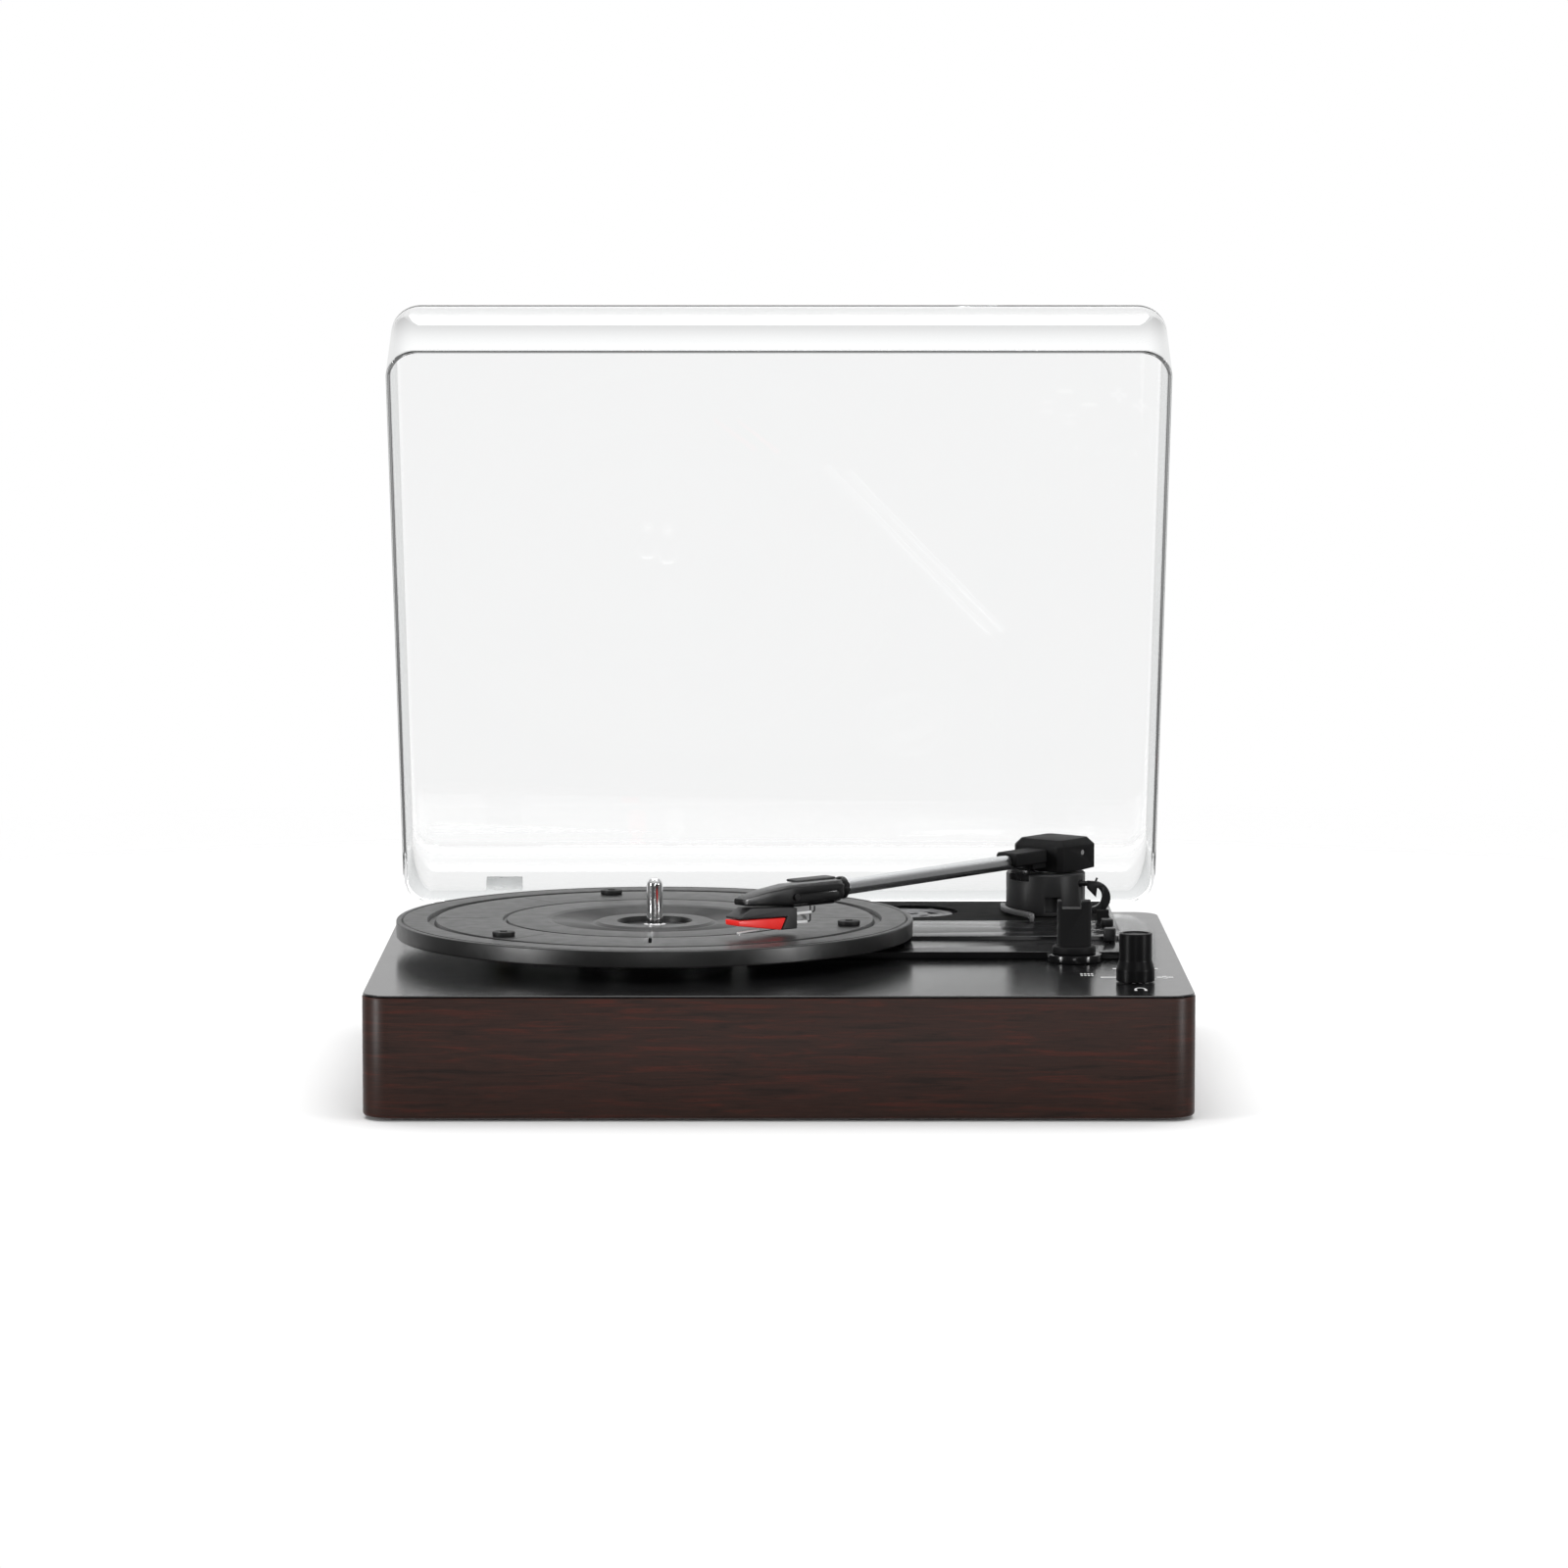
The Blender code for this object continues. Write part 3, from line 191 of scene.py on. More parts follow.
def walnut():
    """Dark veneer. The grain runs level round the box, in streaks of red and near black."""
    made = Nodes("walnut_veneer")
    parts = made.add("ShaderNodeSeparateXYZ")
    made.link(made.place, parts.inputs["Vector"])
    x, y, z = (parts.outputs[k] for k in "XYZ")
    side = made.maths("SIGN", x)
    depth = made.maths("SUBTRACT", y, PLATE_LOW.y)
    run = made.maths("ADD", x, made.maths("MULTIPLY", side, depth))

    def field(along, across, shift=0.0):
        node = made.add("ShaderNodeCombineXYZ")
        made.link(made.maths("MULTIPLY", run, along), node.inputs["X"])
        made.link(made.maths("MULTIPLY", z, across), node.inputs["Y"])
        node.inputs["Z"].default_value = shift
        return node.outputs["Vector"]

    wavy = made.noise(1.0, 2, source=field(7, 26, 3.1), distortion=0.4)
    streak = made.noise(1.0, 4, 0.62, source=field(26, 430), distortion=0.9)
    fibre = made.noise(1.0, 3, 0.7, source=field(90, 2600, 5.0))
    pores = made.noise(1.0, 2, 0.6, source=field(240, 3400, 9.0))
    red = made.maths("MULTIPLY", made.remap(streak, 0.52, 0.72), made.remap(wavy, 0.25, 0.6, 0.35, 1))
    black = made.remap(streak, 0.46, 0.30)
    base = made.mix(made.remap(fibre, 0.3, 0.7), (0.0225, 0.0118, 0.0098), (0.034, 0.0165, 0.0128))
    base = made.mix(red, base, (0.062, 0.0155, 0.0105))
    base = made.mix(made.maths("MULTIPLY", black, 0.8), base, (0.0135, 0.0095, 0.0085))
    made.colour(made.mix(made.remap(pores, 0.66, 0.74), base, (0.009, 0.006, 0.005)))
    made.roughness(fibre, 0.34, 0.46)
    made.bump(made.maths("ADD", fibre, made.maths("MULTIPLY", pores, 0.6)), 0.00003, 0.6)
    made.set(Specular_IOR_Level=0.2)
    return made.material


def acrylic():
    """Clear polished acrylic. Lamplight, and light that has bounced many times, goes straight on."""
    made = Nodes("clear_acrylic")
    haze = made.noise(35, 4)
    made.link(made.remap(haze, 0.35, 0.7, 0.0, 0.004), made.shader.inputs["Roughness"])
    made.colour(made.mix(haze, (0.985, 0.99, 0.99), (0.995, 0.998, 0.998)))
    made.set(Transmission_Weight=1.0, IOR=1.49)
    path = made.add("ShaderNodeLightPath")
    open_way = made.add("ShaderNodeBsdfTransparent")
    open_way.inputs["Color"].default_value = (0.93, 0.935, 0.935, 1)
    late = made.maths("GREATER_THAN", path.outputs["Ray Depth"], LONG_PATH)
    straight_on = made.maths("MAXIMUM", path.outputs["Is Shadow Ray"], late)
    surface = made.shader_mix(straight_on, made.shader.outputs["BSDF"], open_way.outputs["BSDF"])
    made.link(surface, made.output.inputs["Surface"])
    return made.material


MATERIALS = {
    "walnut": walnut(),
    "plate_black": moulded(
        "plate_black", (0.005, 0.005, 0.0052), (0.007, 0.007, 0.0075), (0.165, 0.19), grain=1500,
        bump=0.0000005, Specular_IOR_Level=0.5,
    ),
    "satin_black": moulded(
        "satin_black", (0.006, 0.006, 0.0064), (0.0095, 0.0095, 0.01), (0.24, 0.34),
        Specular_IOR_Level=0.35,
    ),
    "deck_black": moulded(
        "deck_black", (0.005, 0.005, 0.0053), (0.0075, 0.0075, 0.008), (0.15, 0.19), grain=1500,
        bump=0.0000005, Specular_IOR_Level=0.3,
    ),
    "block_black": moulded(
        "block_black", (0.0045, 0.0045, 0.0048), (0.006, 0.006, 0.0064), (0.5, 0.58), bump=0.000004,
        Specular_IOR_Level=0.12,
    ),
    "column_black": moulded(
        "column_black", (0.018, 0.018, 0.0185), (0.021, 0.021, 0.0215), (0.38, 0.41), bump=0.000001,
        spread=25, Specular_IOR_Level=0.15,
    ),
    "panel_black": moulded(
        "panel_black", (0.008, 0.008, 0.008), (0.012, 0.012, 0.012), (0.72, 0.82), bump=0.00002,
        Specular_IOR_Level=0.04,
    ),
    "shell_black": moulded(
        "shell_black", (0.005, 0.005, 0.0053), (0.008, 0.008, 0.0083), (0.2, 0.24), bump=0.000001,
        Specular_IOR_Level=0.6,
    ),
    "adapter_grey": metal(
        "adapter_grey", (0.12, 0.12, 0.124), (0.16, 0.16, 0.165), (0.3, 0.36), bump=0.0000005,
    ),
    # Pale metal drawn as near-white diffuse plastic instead of metal: its own pale tone plus a painted glint,
    # bright where real metal would mirror darker surroundings.
    "pale_metal_painted_glint": moulded(
        "pale_metal_painted_glint", (0.88, 0.88, 0.88), (0.94, 0.94, 0.94), (0.3, 0.36), bump=0.0000005,
    ),
    "lever_grey": moulded(
        "lever_grey", (0.07, 0.07, 0.071), (0.09, 0.09, 0.091), (0.36, 0.42), bump=0.000001,
    ),
    "knob_black": moulded(
        "knob_black", (0.0045, 0.0045, 0.0048), (0.006, 0.006, 0.0064), (0.33, 0.35), bump=0.0000005,
        spread=20, Specular_IOR_Level=0.08,
    ),
    "matte_black": moulded(
        "matte_black", (0.014, 0.014, 0.014), (0.022, 0.022, 0.022), (0.5, 0.62), bump=0.00002,
        Specular_IOR_Level=0.3,
    ),
    "platter_black": moulded(
        "platter_black", (0.004, 0.004, 0.004), (0.009, 0.009, 0.009), (0.33, 0.4), grain=3600,
        bump=0.00001,
    ),
    "rubber": moulded(
        "rubber", (0.005, 0.005, 0.005), (0.009, 0.009, 0.009), (0.45, 0.6), Specular_IOR_Level=0.3,
    ),
    "chrome": metal("chrome", (0.86, 0.86, 0.87), (0.93, 0.93, 0.93), (0.05, 0.1), bump=0.0000003),
    "steel": metal("steel", (0.42, 0.42, 0.43), (0.55, 0.55, 0.56), (0.28, 0.4)),
    "brass": metal("brass", (0.55, 0.38, 0.13), (0.68, 0.48, 0.2), (0.25, 0.35)),
    "aluminium": metal(
        "satin_aluminium", (0.7, 0.71, 0.72), (0.76, 0.77, 0.78), (0.24, 0.26), bump=0.0000005,
    ),
    "charcoal": moulded(
        "charcoal", (0.02, 0.02, 0.021), (0.03, 0.03, 0.031), (0.42, 0.52), bump=0.000015,
        Specular_IOR_Level=0.4,
    ),
    "red": moulded("red", (0.93, 0.022, 0.018), (0.98, 0.034, 0.028), (0.3, 0.38), spread=140),
    "pale_grey": moulded("pale_grey", (0.4, 0.4, 0.4), (0.5, 0.5, 0.5), (0.3, 0.42)),
    "smoke": moulded(
        "smoke", (0.10, 0.104, 0.104), (0.14, 0.144, 0.144), (0.25, 0.35), Transmission_Weight=0.12,
    ),
    "board_green": moulded("board_green", (0.01, 0.07, 0.03), (0.02, 0.12, 0.05), (0.35, 0.45)),
    "jack_white": moulded("jack_white", (0.66, 0.66, 0.63), (0.75, 0.75, 0.72), (0.3, 0.4)),
    "clear": acrylic(),
    "print": moulded("print_white", (0.68, 0.68, 0.68), (0.78, 0.78, 0.78), (0.5, 0.6)),
}

NODE_LOOK = {
    "plinth_frame": "walnut",
    "top_plate": "plate_black",
    "deck_module": "deck_black",
    "deck_rear_panel": "panel_black",
    "pivot_block": "block_black",
    "arm_rest": "block_black",
    "arm_column": "column_black",
    "headshell": "shell_black",
    "adapter_45": "adapter_grey",
    "trip_lever": "lever_grey",
    # The cantilever and cartridge clips carry the painted glint of the pale metal.
    "cantilever": "pale_metal_painted_glint",
    "cartridge_clip_1": "pale_metal_painted_glint",
    "cartridge_clip_2": "pale_metal_painted_glint",
    "dust_cover": "clear",
    "lid_hinge_left": "smoke",
    "lid_hinge_right": "smoke",
}
slots = {}
for part in frame["record"]["subparts"]:
    slots[part["node"]] = part["material_slot"]
for name, node in NODES.items():
    look = NODE_LOOK.get(name) or slots.get(name)
    node.data.materials.clear()
    node.data.materials.append(MATERIALS[look if look in MATERIALS else "satin_black"])


# ------------------------------------------------------------ finer pieces

BODY = {}
for body, members in frame["record"]["behaviour"]["bodies"].items():
    for member in members:
        BODY[member] = body


def piece(name, bm, look, nodes=(), body=None, sharp=32):
    """Links a mesh as a shown piece. It stands for the given CAD nodes and moves with their body."""
    bmesh.ops.recalc_face_normals(bm, faces=bm.faces)
    mesh = bpy.data.meshes.new(name)
    bm.to_mesh(mesh)
    bm.free()
    made = bpy.data.objects.new(name, mesh)
    bpy.context.scene.collection.objects.link(made)
    mesh.materials.append(MATERIALS[look])
    mesh.shade_smooth()
    mesh.set_sharp_from_angle(angle=math.radians(sharp))
    if nodes:
        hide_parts(*nodes)
    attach(made, body or BODY[nodes[0]])


def refined(node, width, drop=0.0, sharp=30):
    """A copy of a CAD node with its edges rounded, set lower by a drop. Both are in millimetres."""
    bm = bmesh.new()
    bm.from_mesh(NODES[node].data)
    bmesh.ops.translate(bm, vec=(0, 0, -drop * MM), verts=bm.verts)
    bmesh.ops.remove_doubles(bm, verts=bm.verts, dist=0.00001)
    bmesh.ops.dissolve_limit(bm, angle_limit=math.radians(0.5), verts=bm.verts, edges=bm.edges)
    edges = []
    for edge in bm.edges:
        if len(edge.link_faces) == 2 and edge.calc_face_angle(0) > math.radians(sharp):
            edges.append(edge)
    bmesh.ops.bevel(bm, geom=edges, offset=width * MM, segments=2, profile=0.5,
                    affect="EDGES", clamp_overlap=False)
    piece(node + "_fine", bm, NODE_LOOK.get(node) or slots[node], (node,))


def filleted(corners, steps=4):
    """A closed outline from (x, y, radius) corners, each rounded by its radius."""
    out = []
    for i, (x, y, radius) in enumerate(corners):
        here = Vector((x, y))
        if not radius:
            out.append((x, y))
            continue
        before = Vector(corners[i - 1][:2]) - here
        after = Vector(corners[(i + 1) % len(corners)][:2]) - here
        reach = radius / math.tan(before.angle(after) / 2)
        reach = min(reach, before.length * 0.48, after.length * 0.48)
        before = before.normalized() * reach
        after = after.normalized() * reach
        for k in range(steps + 1):
            t = k / steps
            out.append(tuple(here + before * (1 - t) ** 2 + after * t ** 2))
    return out


def ring_of(radius, z, steps):
    turn = 2 * math.pi / steps
    return [(radius * math.cos(turn * i), radius * math.sin(turn * i), z) for i in range(steps)]


def lathe(profile, steps, matrix):
    """Turns a closed (radius, height) profile in millimetres about the Z axis of a frame."""
    bm = bmesh.new()
    rings = []
    for radius, z in profile:
        points = ring_of(radius, z, steps) if radius > 1e-6 else [(0, 0, z)]
        rings.append([bm.verts.new(matrix @ (Vector(p) * MM)) for p in points])
    for a, b in zip(rings, rings[1:] + rings[:1]):
        for i in range(steps):
            j = (i + 1) % steps
            if len(a) > 1 and len(b) > 1:
                bm.faces.new((a[i], b[i], b[j], a[j]))
            elif len(b) > 1:
                bm.faces.new((a[0], b[i], b[j]))
            elif len(a) > 1:
                bm.faces.new((a[i], b[0], a[j]))
    return bm


def upright(at):
    """A frame standing on the top plate's level at a joint's axis."""
    return Matrix.Translation((at.x, at.y, TOP))


def trimmed(bm, cutter):
    """Takes a cutter's shape out of a mesh."""
    held = []
    for shape in (bm, cutter):
        bmesh.ops.recalc_face_normals(shape, faces=shape.faces)
        mesh = bpy.data.meshes.new("work")
        shape.to_mesh(mesh)
        shape.free()
        made = bpy.data.objects.new("work", mesh)
        bpy.context.scene.collection.objects.link(made)
        held.append(made)
    modifier = held[0].modifiers.new("cut", "BOOLEAN")
    modifier.object = held[1]
    modifier.solver = "EXACT"
    graph = bpy.context.evaluated_depsgraph_get()
    result = bmesh.new()
    result.from_mesh(held[0].evaluated_get(graph).to_mesh())
    for made in held:
        bpy.data.objects.remove(made, do_unlink=True)
    return result


def add_prism(bm, outline, low, high, matrix):
    """Adds an upright prism of an (x, y) outline in millimetres."""
    ends = []
    for z in (low, high):
        ends.append([bm.verts.new(matrix @ (Vector((x, y, z)) * MM)) for x, y in outline])
    count = len(outline)
    for i in range(count):
        j = (i + 1) % count
        bm.faces.new((ends[0][i], ends[0][j], ends[1][j], ends[1][i]))
    bm.faces.new(ends[0][::-1])
    bm.faces.new(ends[1])


def box_outline(x0, y0, x1, y1):
    return [(x0, y0), (x1, y0), (x1, y1), (x0, y1)]


# Platter sizes in millimetres. Heights are above the top plate.
PLATTER_R = 114.2
PLATTER_LOW = 6.3
RIM_TOP = 13.6
FIELD = 13.5
BOWL_LOW = 11.4
HUB = 12.4
BORE_R = 3.9
SPINDLE_R = 3.58
SPINDLE_TOP = 31.2
BOWL_GROOVE = 0.9
PAD_ANGLES = (104, 224, 344)
LINE_ANGLES = (0, 50, 130, 180, 230, 310)


def bowl_rings():
    """The dish round the spindle: fine rings that step down towards its middle."""
    r = PLATTER_R
    rings = []
    radius = 0.40 * r
    while radius > 0.245 * r:
        height = BOWL_LOW + 1.6 * (radius / r - 0.235) / 0.165
        rings += [(radius, height, 0), (radius - BOWL_GROOVE / 2, height - 0.28, 0)]
        radius -= BOWL_GROOVE
    return rings


def build_platter():
    r = PLATTER_R
    corners = [
        (BORE_R, 7.2, 0), (11, 7.2, 0), (11, 1.6, 0), (34, 1.6, 0), (34, 9.4, 0), (110, 9.4, 0),
        (110.4, PLATTER_LOW, 0), (r, PLATTER_LOW, 0.7), (r, RIM_TOP, 0.8), (0.982 * r, RIM_TOP, 0),
        (0.9765 * r, 12.8, 0), (0.971 * r, RIM_TOP, 0), (0.880 * r, RIM_TOP, 0.4), (0.875 * r, 11.6, 0.2),
        (0.853 * r, 11.6, 0.2), (0.846 * r, FIELD, 0.4), (0.589 * r, FIELD, 0.1), (0.585 * r, 12.4, 0),
        (0.575 * r, 12.4, 0), (0.571 * r, FIELD, 0.1), (0.42 * r, FIELD, 0.3), (0.405 * r, 13.1, 0.3),
    ]
    corners += bowl_rings()
    corners += [(0.235 * r, BOWL_LOW, 0.2), (0.22 * r, HUB, 0.3), (0.146 * r, HUB, 0.4)]
    corners += [(0.14 * r, 10, 0), (BORE_R, 10, 0)]
    body = lathe(filleted(corners), 176, upright(PLATTER))
    slot = bmesh.new()
    add_prism(slot, box_outline(-1.2, -85.7, 0.4, -68.8), 11.3, 20, upright(PLATTER))
    piece("platter_fine", trimmed(body, slot), "platter_black", ("platter",), sharp=28)

    lines = bmesh.new()
    for turn in LINE_ANGLES:
        frame_at = upright(PLATTER) @ Matrix.Rotation(math.radians(turn), 4, "Z")
        add_prism(lines, box_outline(0.64 * r, -0.22, 0.83 * r, 0.22), FIELD - 0.06, FIELD + 0.03, frame_at)
    piece("platter_lines", lines, "rubber", body="platter")


def build_spindle():
    corners = [
        (0, 1, 0), (SPINDLE_R, 1, 0), (SPINDLE_R, 10, 0), (5.0, 10, 0.2), (5.0, 10.9, 0.3),
        (SPINDLE_R, 11.1, 0.2), (SPINDLE_R, SPINDLE_TOP - 2, 2.6),
        (2.2, SPINDLE_TOP, 1.2), (0, SPINDLE_TOP, 0),
    ]
    piece("spindle_fine", lathe(filleted(corners, 6), 72, upright(PLATTER)), "chrome", ("spindle",))


def build_pads():
    corners = [
        (0, FIELD, 0), (4.8, FIELD, 0.2), (5.0, 15.45, 0.5),
        (1.7, 15.45, 0.1), (1.4, 15.9, 0.2), (0, 15.9, 0),
    ]
    reach = 0.78 * PLATTER_R * MM
    for i, turn in enumerate(PAD_ANGLES):
        a = math.radians(turn)
        at = upright(PLATTER) @ Matrix.Translation((reach * math.cos(a), reach * math.sin(a), 0))
        name = "record_pad_%d" % (i + 1)
        piece(name + "_fine", lathe(filleted(corners), 48, at), "rubber", (name,))


# Knob and tonearm tube sizes in millimetres. Heights are above the top plate.
KNOB_TALL = 21.0
TUBE_HIGH = 30.8
TUBE_R = 3.4
TUBE_BORE = 2.5
TUBE_START = 9.6
TUBE_END = 147.5


def build_knob():
    corners = [
        (0, -9, 0), (3, -9, 0), (3, 0.5, 0), (8.2, 0.5, 0.3), (8.2, 5.6, 2.2), (7.05, 9.4, 3.0),
        (7.0, KNOB_TALL, 0.55), (5.7, KNOB_TALL, 0.4), (5.3, 20.4, 0.4), (0, 20.4, 0),
    ]
    piece("volume_knob_fine", lathe(filleted(corners, 6), 96, upright(KNOB)), "knob_black", ("volume_knob",))


def build_tube():
    axis = Matrix.Translation((ARM.x, ARM.y, TOP + TUBE_HIGH * MM)) @ Matrix.Rotation(ARM_ANGLE, 4, "Z")
    axis = axis @ Matrix.Rotation(math.pi / 2, 4, "Y")
    corners = [
        (TUBE_BORE, TUBE_START, 0), (TUBE_R, TUBE_START, 0.2),
        (TUBE_R, TUBE_END, 0.2), (TUBE_BORE, TUBE_END, 0),
    ]
    piece("tonearm_tube_fine", lathe(filleted(corners), 72, axis), "aluminium", ("tonearm_tube",))


def build_lid():
    """The clear cover as one shell with finely rounded corners, edges and lip."""
    wide, back, front, round_at = 174.5, 143.9, -141.0, 14.0
    low = 0.4
    high, wall, edge, lip = low + 50.0, 2.4, 5.0, 0.7
    y, z = LID_AXIS.y, LID_AXIS.z
    turn = Matrix.Rotation(math.radians(-66.5), 4, "X")
    place = Matrix.Translation((0, y, z)) @ turn @ Matrix.Translation((0, MID_Y - y, TOP - z))

    def loop(inset, height):
        radius = round_at - inset
        points = []
        corners = ((wide, front, -90), (wide, back, 0), (-wide, back, 90), (-wide, front, 180))
        for cx, cy, start in corners:
            x = cx - math.copysign(inset + radius, cx)
            yy = cy - math.copysign(inset + radius, cy)
            for k in range(25):
                a = math.radians(start + 90 * k / 24)
                points.append((x + radius * math.cos(a), yy + radius * math.sin(a), height))
        return [place @ (Vector(p) * MM) for p in points]

    def sweep(count, function):
        return [function(math.pi / 2 * k / count) for k in range(count + 1)]

    levels = sweep(4, lambda a: (lip * (1 - math.sin(a)), low + lip * (1 - math.cos(a))))
    levels += sweep(10, lambda a: (edge * (1 - math.cos(a)), high - edge + edge * math.sin(a)))
    turn_at = edge - wall
    levels += sweep(10, lambda a: (wall + turn_at * (1 - math.sin(a)), high - edge + turn_at * math.cos(a)))
    levels += sweep(4, lambda a: (wall - lip * (1 - math.cos(a)), low + lip * (1 - math.sin(a))))
    bm = bmesh.new()
    rings = [[bm.verts.new(p) for p in loop(*level)] for level in levels]
    roof = 15
    for number, (a, b) in enumerate(zip(rings, rings[1:] + rings[:1])):
        if number == roof:
            continue
        for i in range(len(a)):
            j = (i + 1) % len(a)
            bm.faces.new((a[i], a[j], b[j], b[i]))
    bm.faces.new(rings[roof])
    bm.faces.new(rings[roof + 1][::-1])
    piece("dust_cover_fine", bm, "clear", ("dust_cover",), sharp=50)


# Where the headset sign is on the top plate, and the underside and top of all the print, in millimetres.
HEADSET = (152.4, -121)
PRINT_LEVELS = (0.01, 0.05)


def build_marks():
    """Plain printed marks on the top plate: dashes, a minus, a plus, ticks, dots and a headset."""
    marks = bmesh.new()
    at = Matrix.Translation((0, MID_Y, TOP))

    def bar(x, y, wide, deep):
        outline = box_outline(x - wide / 2, y - deep / 2, x + wide / 2, y + deep / 2)
        add_prism(marks, outline, *PRINT_LEVELS, at)

    def half_ring(wide, deep, turns):
        points = []
        for k in turns:
            a = math.radians(180 * k / 12)
            points.append((HEADSET[0] + wide * math.cos(a), HEADSET[1] + deep * math.sin(a)))
        return points

    for k in range(4):
        bar(129.8 + 1.5 * k, -72.3, 1.0, 2.0)
        bar(129.8 + 1.5 * k, -77.0, 1.0, 2.0)
    bar(141, -83, 7.0, 2.2)
    bar(165, -83, 7.0, 2.2)
    bar(165, -83, 1.8, 7.0)
    for x in (145, 162.6):
        bar(x, -55.5, 1.8, 2.2)
    for k in range(3):
        bar(150.6 + 2.8 * k, -101, 1.3, 1.5)
    band = half_ring(2.5, 5.6, range(13)) + half_ring(1.9, 4.6, range(12, -1, -1))
    add_prism(marks, band, *PRINT_LEVELS, at)
    for side in (-2.1, 2.1):
        bar(HEADSET[0] + side, HEADSET[1] - 1.4, 1.1, 4.2)
    piece("printed_marks", marks, "print", body="base")


def build_hood_skirt():
    """The dark lip under the pivot block's hood."""
    bm = bmesh.new()
    place = Matrix.Translation((ARM.x, ARM.y, TOP)) @ Matrix.Rotation(ARM_ANGLE, 4, "Z")
    outline = [(7.6, -5.9), (16.4, -5.9), (17, -5.3), (17, 5.3), (16.4, 5.9), (7.6, 5.9)]
    add_prism(bm, outline, 27.1, 29.1, place)
    piece("hood_skirt", bm, "block_black", body="arm")


# The CAD nodes that get rounded edges, each with the width of an edge in millimetres.
ROUNDED = (
    ("plinth_frame", 0.35),
    ("deck_module", 0.15),
    ("arm_rest", 0.35),
    ("arm_column", 0.2),
    ("pivot_block", 0.18),
    ("lifter", 0.2),
    ("headshell", 0.2),
    ("cartridge_body", 0.15),
    ("stylus_holder", 0.12),
    ("cue_lever", 0.1),
    ("speed_lever", 0.15),
    ("auto_stop_lever", 0.15),
    ("trip_lever", 0.25),
    ("adapter_45", 0.15),
    ("hinge_bracket_left", 0.3),
    ("hinge_bracket_right", 0.3),
    ("lid_hinge_left", 0.3),
    ("lid_hinge_right", 0.3),
    ("terminal_plate", 0.2),
)
FINGER_LIFT_DROP = 0.9

build_platter()
build_spindle()
build_pads()
build_hood_skirt()
build_knob()
build_tube()
build_lid()
build_marks()
for name, width in ROUNDED:
    refined(name, width)
refined("finger_lift", 0.15, drop=FINGER_LIFT_DROP)


# ------------------------------------------------------------ studio

CAMERA_AT = (0.0022, -2.7259, 0.4111)
CAMERA_TILT = math.radians(90 - 5.998)
CAMERA_LENS = 141.77

# How bright the surroundings are behind, above and beside the object, and everywhere at least.
BACK_LIGHT = 0.8
TOP_LIGHT = 0.55
SIDE_LIGHT = 0.12
BASE_LIGHT = 0.16
BASE_MIRRORED = 0.07
# How much of the plain white backdrop shows through the lid.
THROUGH_LID = 0.9

FLOOR_RADIUS = 2.4
FLOOR_FADE = (0.35, 1.1)


def build_camera():
    data = bpy.data.cameras.new("camera")
    data.lens = CAMERA_LENS
    data.sensor_width = 36
    data.clip_end = 50
    camera = bpy.data.objects.new("camera", data)
    camera.location = CAMERA_AT
    camera.rotation_euler = (CAMERA_TILT, 0, 0)
    bpy.context.scene.collection.objects.link(camera)
    bpy.context.scene.camera = camera


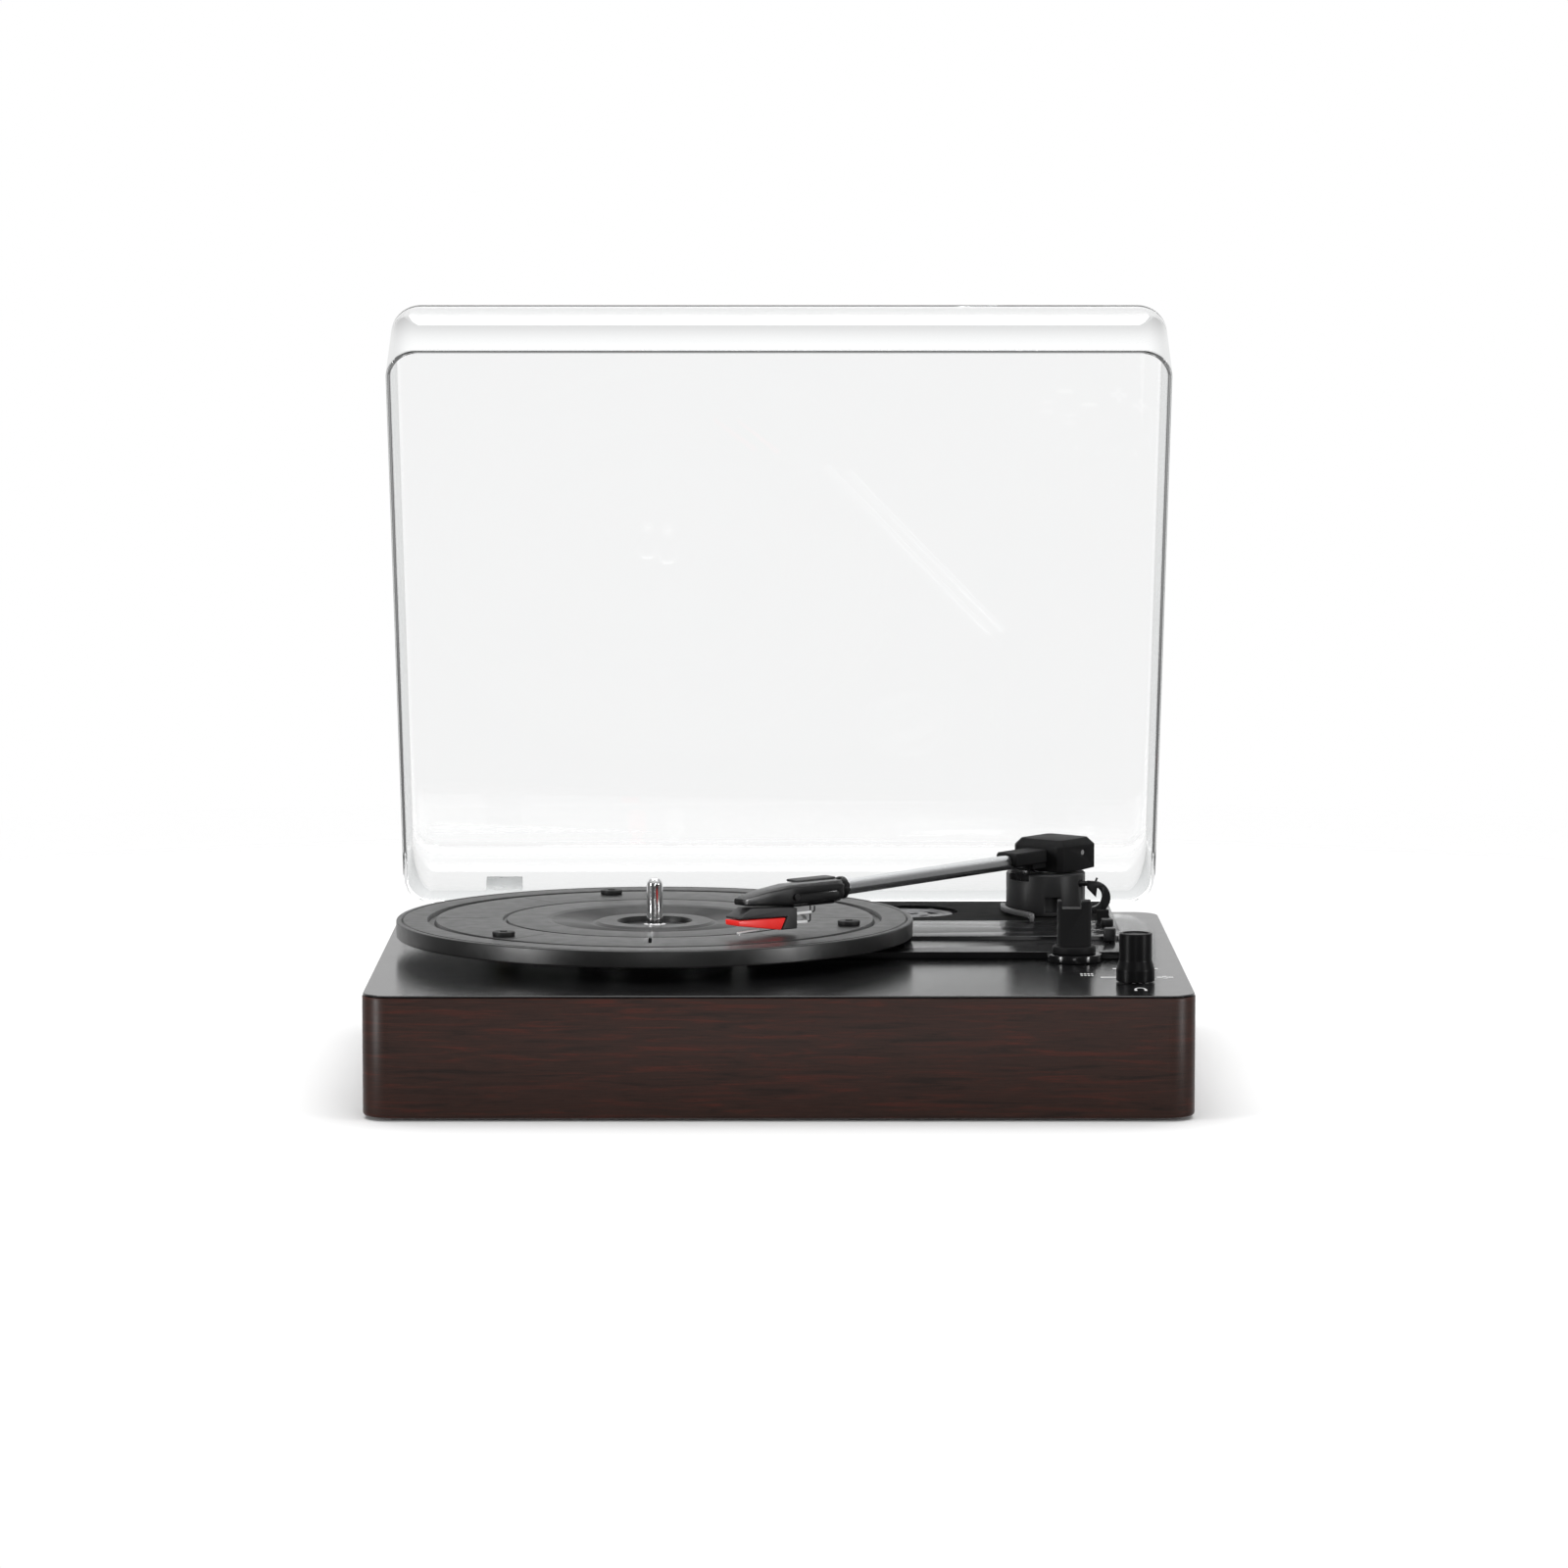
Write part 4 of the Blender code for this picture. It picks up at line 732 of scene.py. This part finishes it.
def build_world():
    """White to the eye and through the lid, with softer and darker regions for everything else."""
    world = bpy.data.worlds.new("studio")
    bpy.context.scene.world = world
    world.use_nodes = True
    world.node_tree.nodes.clear()
    sky = Tree(world.node_tree)

    def ramp(value, low, high, most):
        return sky.remap(value, low, high, 0.0, most, interpolation_type="SMOOTHSTEP")

    def backdrop():
        node = sky.add("ShaderNodeBackground")
        node.inputs["Color"].default_value = (1, 1, 1, 1)
        return node

    parts = sky.add("ShaderNodeSeparateXYZ")
    sky.link(sky.add("ShaderNodeTexCoord").outputs["Generated"], parts.inputs["Vector"])
    x, y, z = (parts.outputs[k] for k in "XYZ")
    path = sky.add("ShaderNodeLightPath")
    back = ramp(y, 0.35, 0.85, BACK_LIGHT)
    above = ramp(z, 0.25, 0.95, TOP_LIGHT)
    sides = ramp(sky.maths("ABSOLUTE", x), 0.45, 0.95, SIDE_LIGHT)
    mirrored = sky.maths("MULTIPLY", path.outputs["Is Glossy Ray"], BASE_LIGHT - BASE_MIRRORED)
    base = sky.maths("SUBTRACT", BASE_LIGHT, mirrored)
    shade = backdrop()
    total = sky.maths("ADD", sky.maths("ADD", back, above), sky.maths("ADD", sides, base))
    sky.link(total, shade.inputs["Strength"])

    # After a long way through the lid the darker surroundings are seen, not the plain white backdrop.
    long_way = sky.maths("GREATER_THAN", path.outputs["Ray Depth"], LONG_PATH)
    through = sky.maths("GREATER_THAN", path.outputs["Transmission Depth"], 0.5)
    dimmed = sky.maths("SUBTRACT", THROUGH_LID, sky.maths("MULTIPLY", long_way, THROUGH_LID))
    through = sky.maths("MULTIPLY", through, dimmed)
    seen = sky.maths("MAXIMUM", path.outputs["Is Camera Ray"], through)
    surface = sky.shader_mix(seen, shade.outputs["Background"], backdrop().outputs["Background"])
    sky.link(surface, sky.add("ShaderNodeOutputWorld").inputs["Surface"])


def area(name, at, aim, size, power):
    """A rectangular lamp that the camera doesn't see."""
    data = bpy.data.lights.new(name, "AREA")
    data.shape = "RECTANGLE"
    data.size, data.size_y = size
    data.energy = power
    lamp = bpy.data.objects.new(name, data)
    lamp.location = at
    lamp.rotation_euler = (Vector(aim) - Vector(at)).to_track_quat("-Z", "Y").to_euler()
    lamp.visible_camera = False
    bpy.context.scene.collection.objects.link(lamp)


def build_lights():
    area("overhead", (0, 0.1, 1.9), (0, 0, 0), (2.2, 1.6), 26)
    area("left_strip", (-1.75, -1.1, 0.3), (-0.17, -0.14, 0.02), (0.26, 0.6), 20)
    area("right_strip", (1.85, -1.1, 0.3), (0.17, -0.14, 0.02), (0.26, 0.6), 16)
    area("front_low", (0.05, -2.9, 0.14), (0.05, 0, 0.04), (0.5, 0.36), 4)
    area("front_soft", (0.75, -2.3, 1.0), (0.1, 0, 0.05), (0.9, 0.7), 6)


def build_floor():
    """A pale round floor that fades into the white backdrop."""
    bm = bmesh.new()
    bmesh.ops.create_circle(bm, cap_ends=True, radius=FLOOR_RADIUS, segments=96)
    mesh = bpy.data.meshes.new("floor")
    bm.to_mesh(mesh)
    bm.free()
    floor = bpy.data.objects.new("floor", mesh)
    bpy.context.scene.collection.objects.link(floor)
    made = Nodes("pale_floor")
    made.colour(made.mix(made.noise(6, 3), (0.86, 0.86, 0.86), (0.9, 0.9, 0.9)))
    made.set(Roughness=0.9, Specular_IOR_Level=0.0)
    length = made.add("ShaderNodeVectorMath", operation="LENGTH")
    made.link(made.place, length.inputs[0])
    clear = made.add("ShaderNodeBsdfTransparent")
    fade = made.remap(length.outputs["Value"], *FLOOR_FADE)
    surface = made.shader_mix(fade, made.shader.outputs["BSDF"], clear.outputs["BSDF"])
    made.link(surface, made.output.inputs["Surface"])
    mesh.materials.append(made.material)
    floor.visible_glossy = False


build_camera()
build_world()
build_lights()
build_floor()
bpy.context.scene.view_settings.view_transform = "Standard"
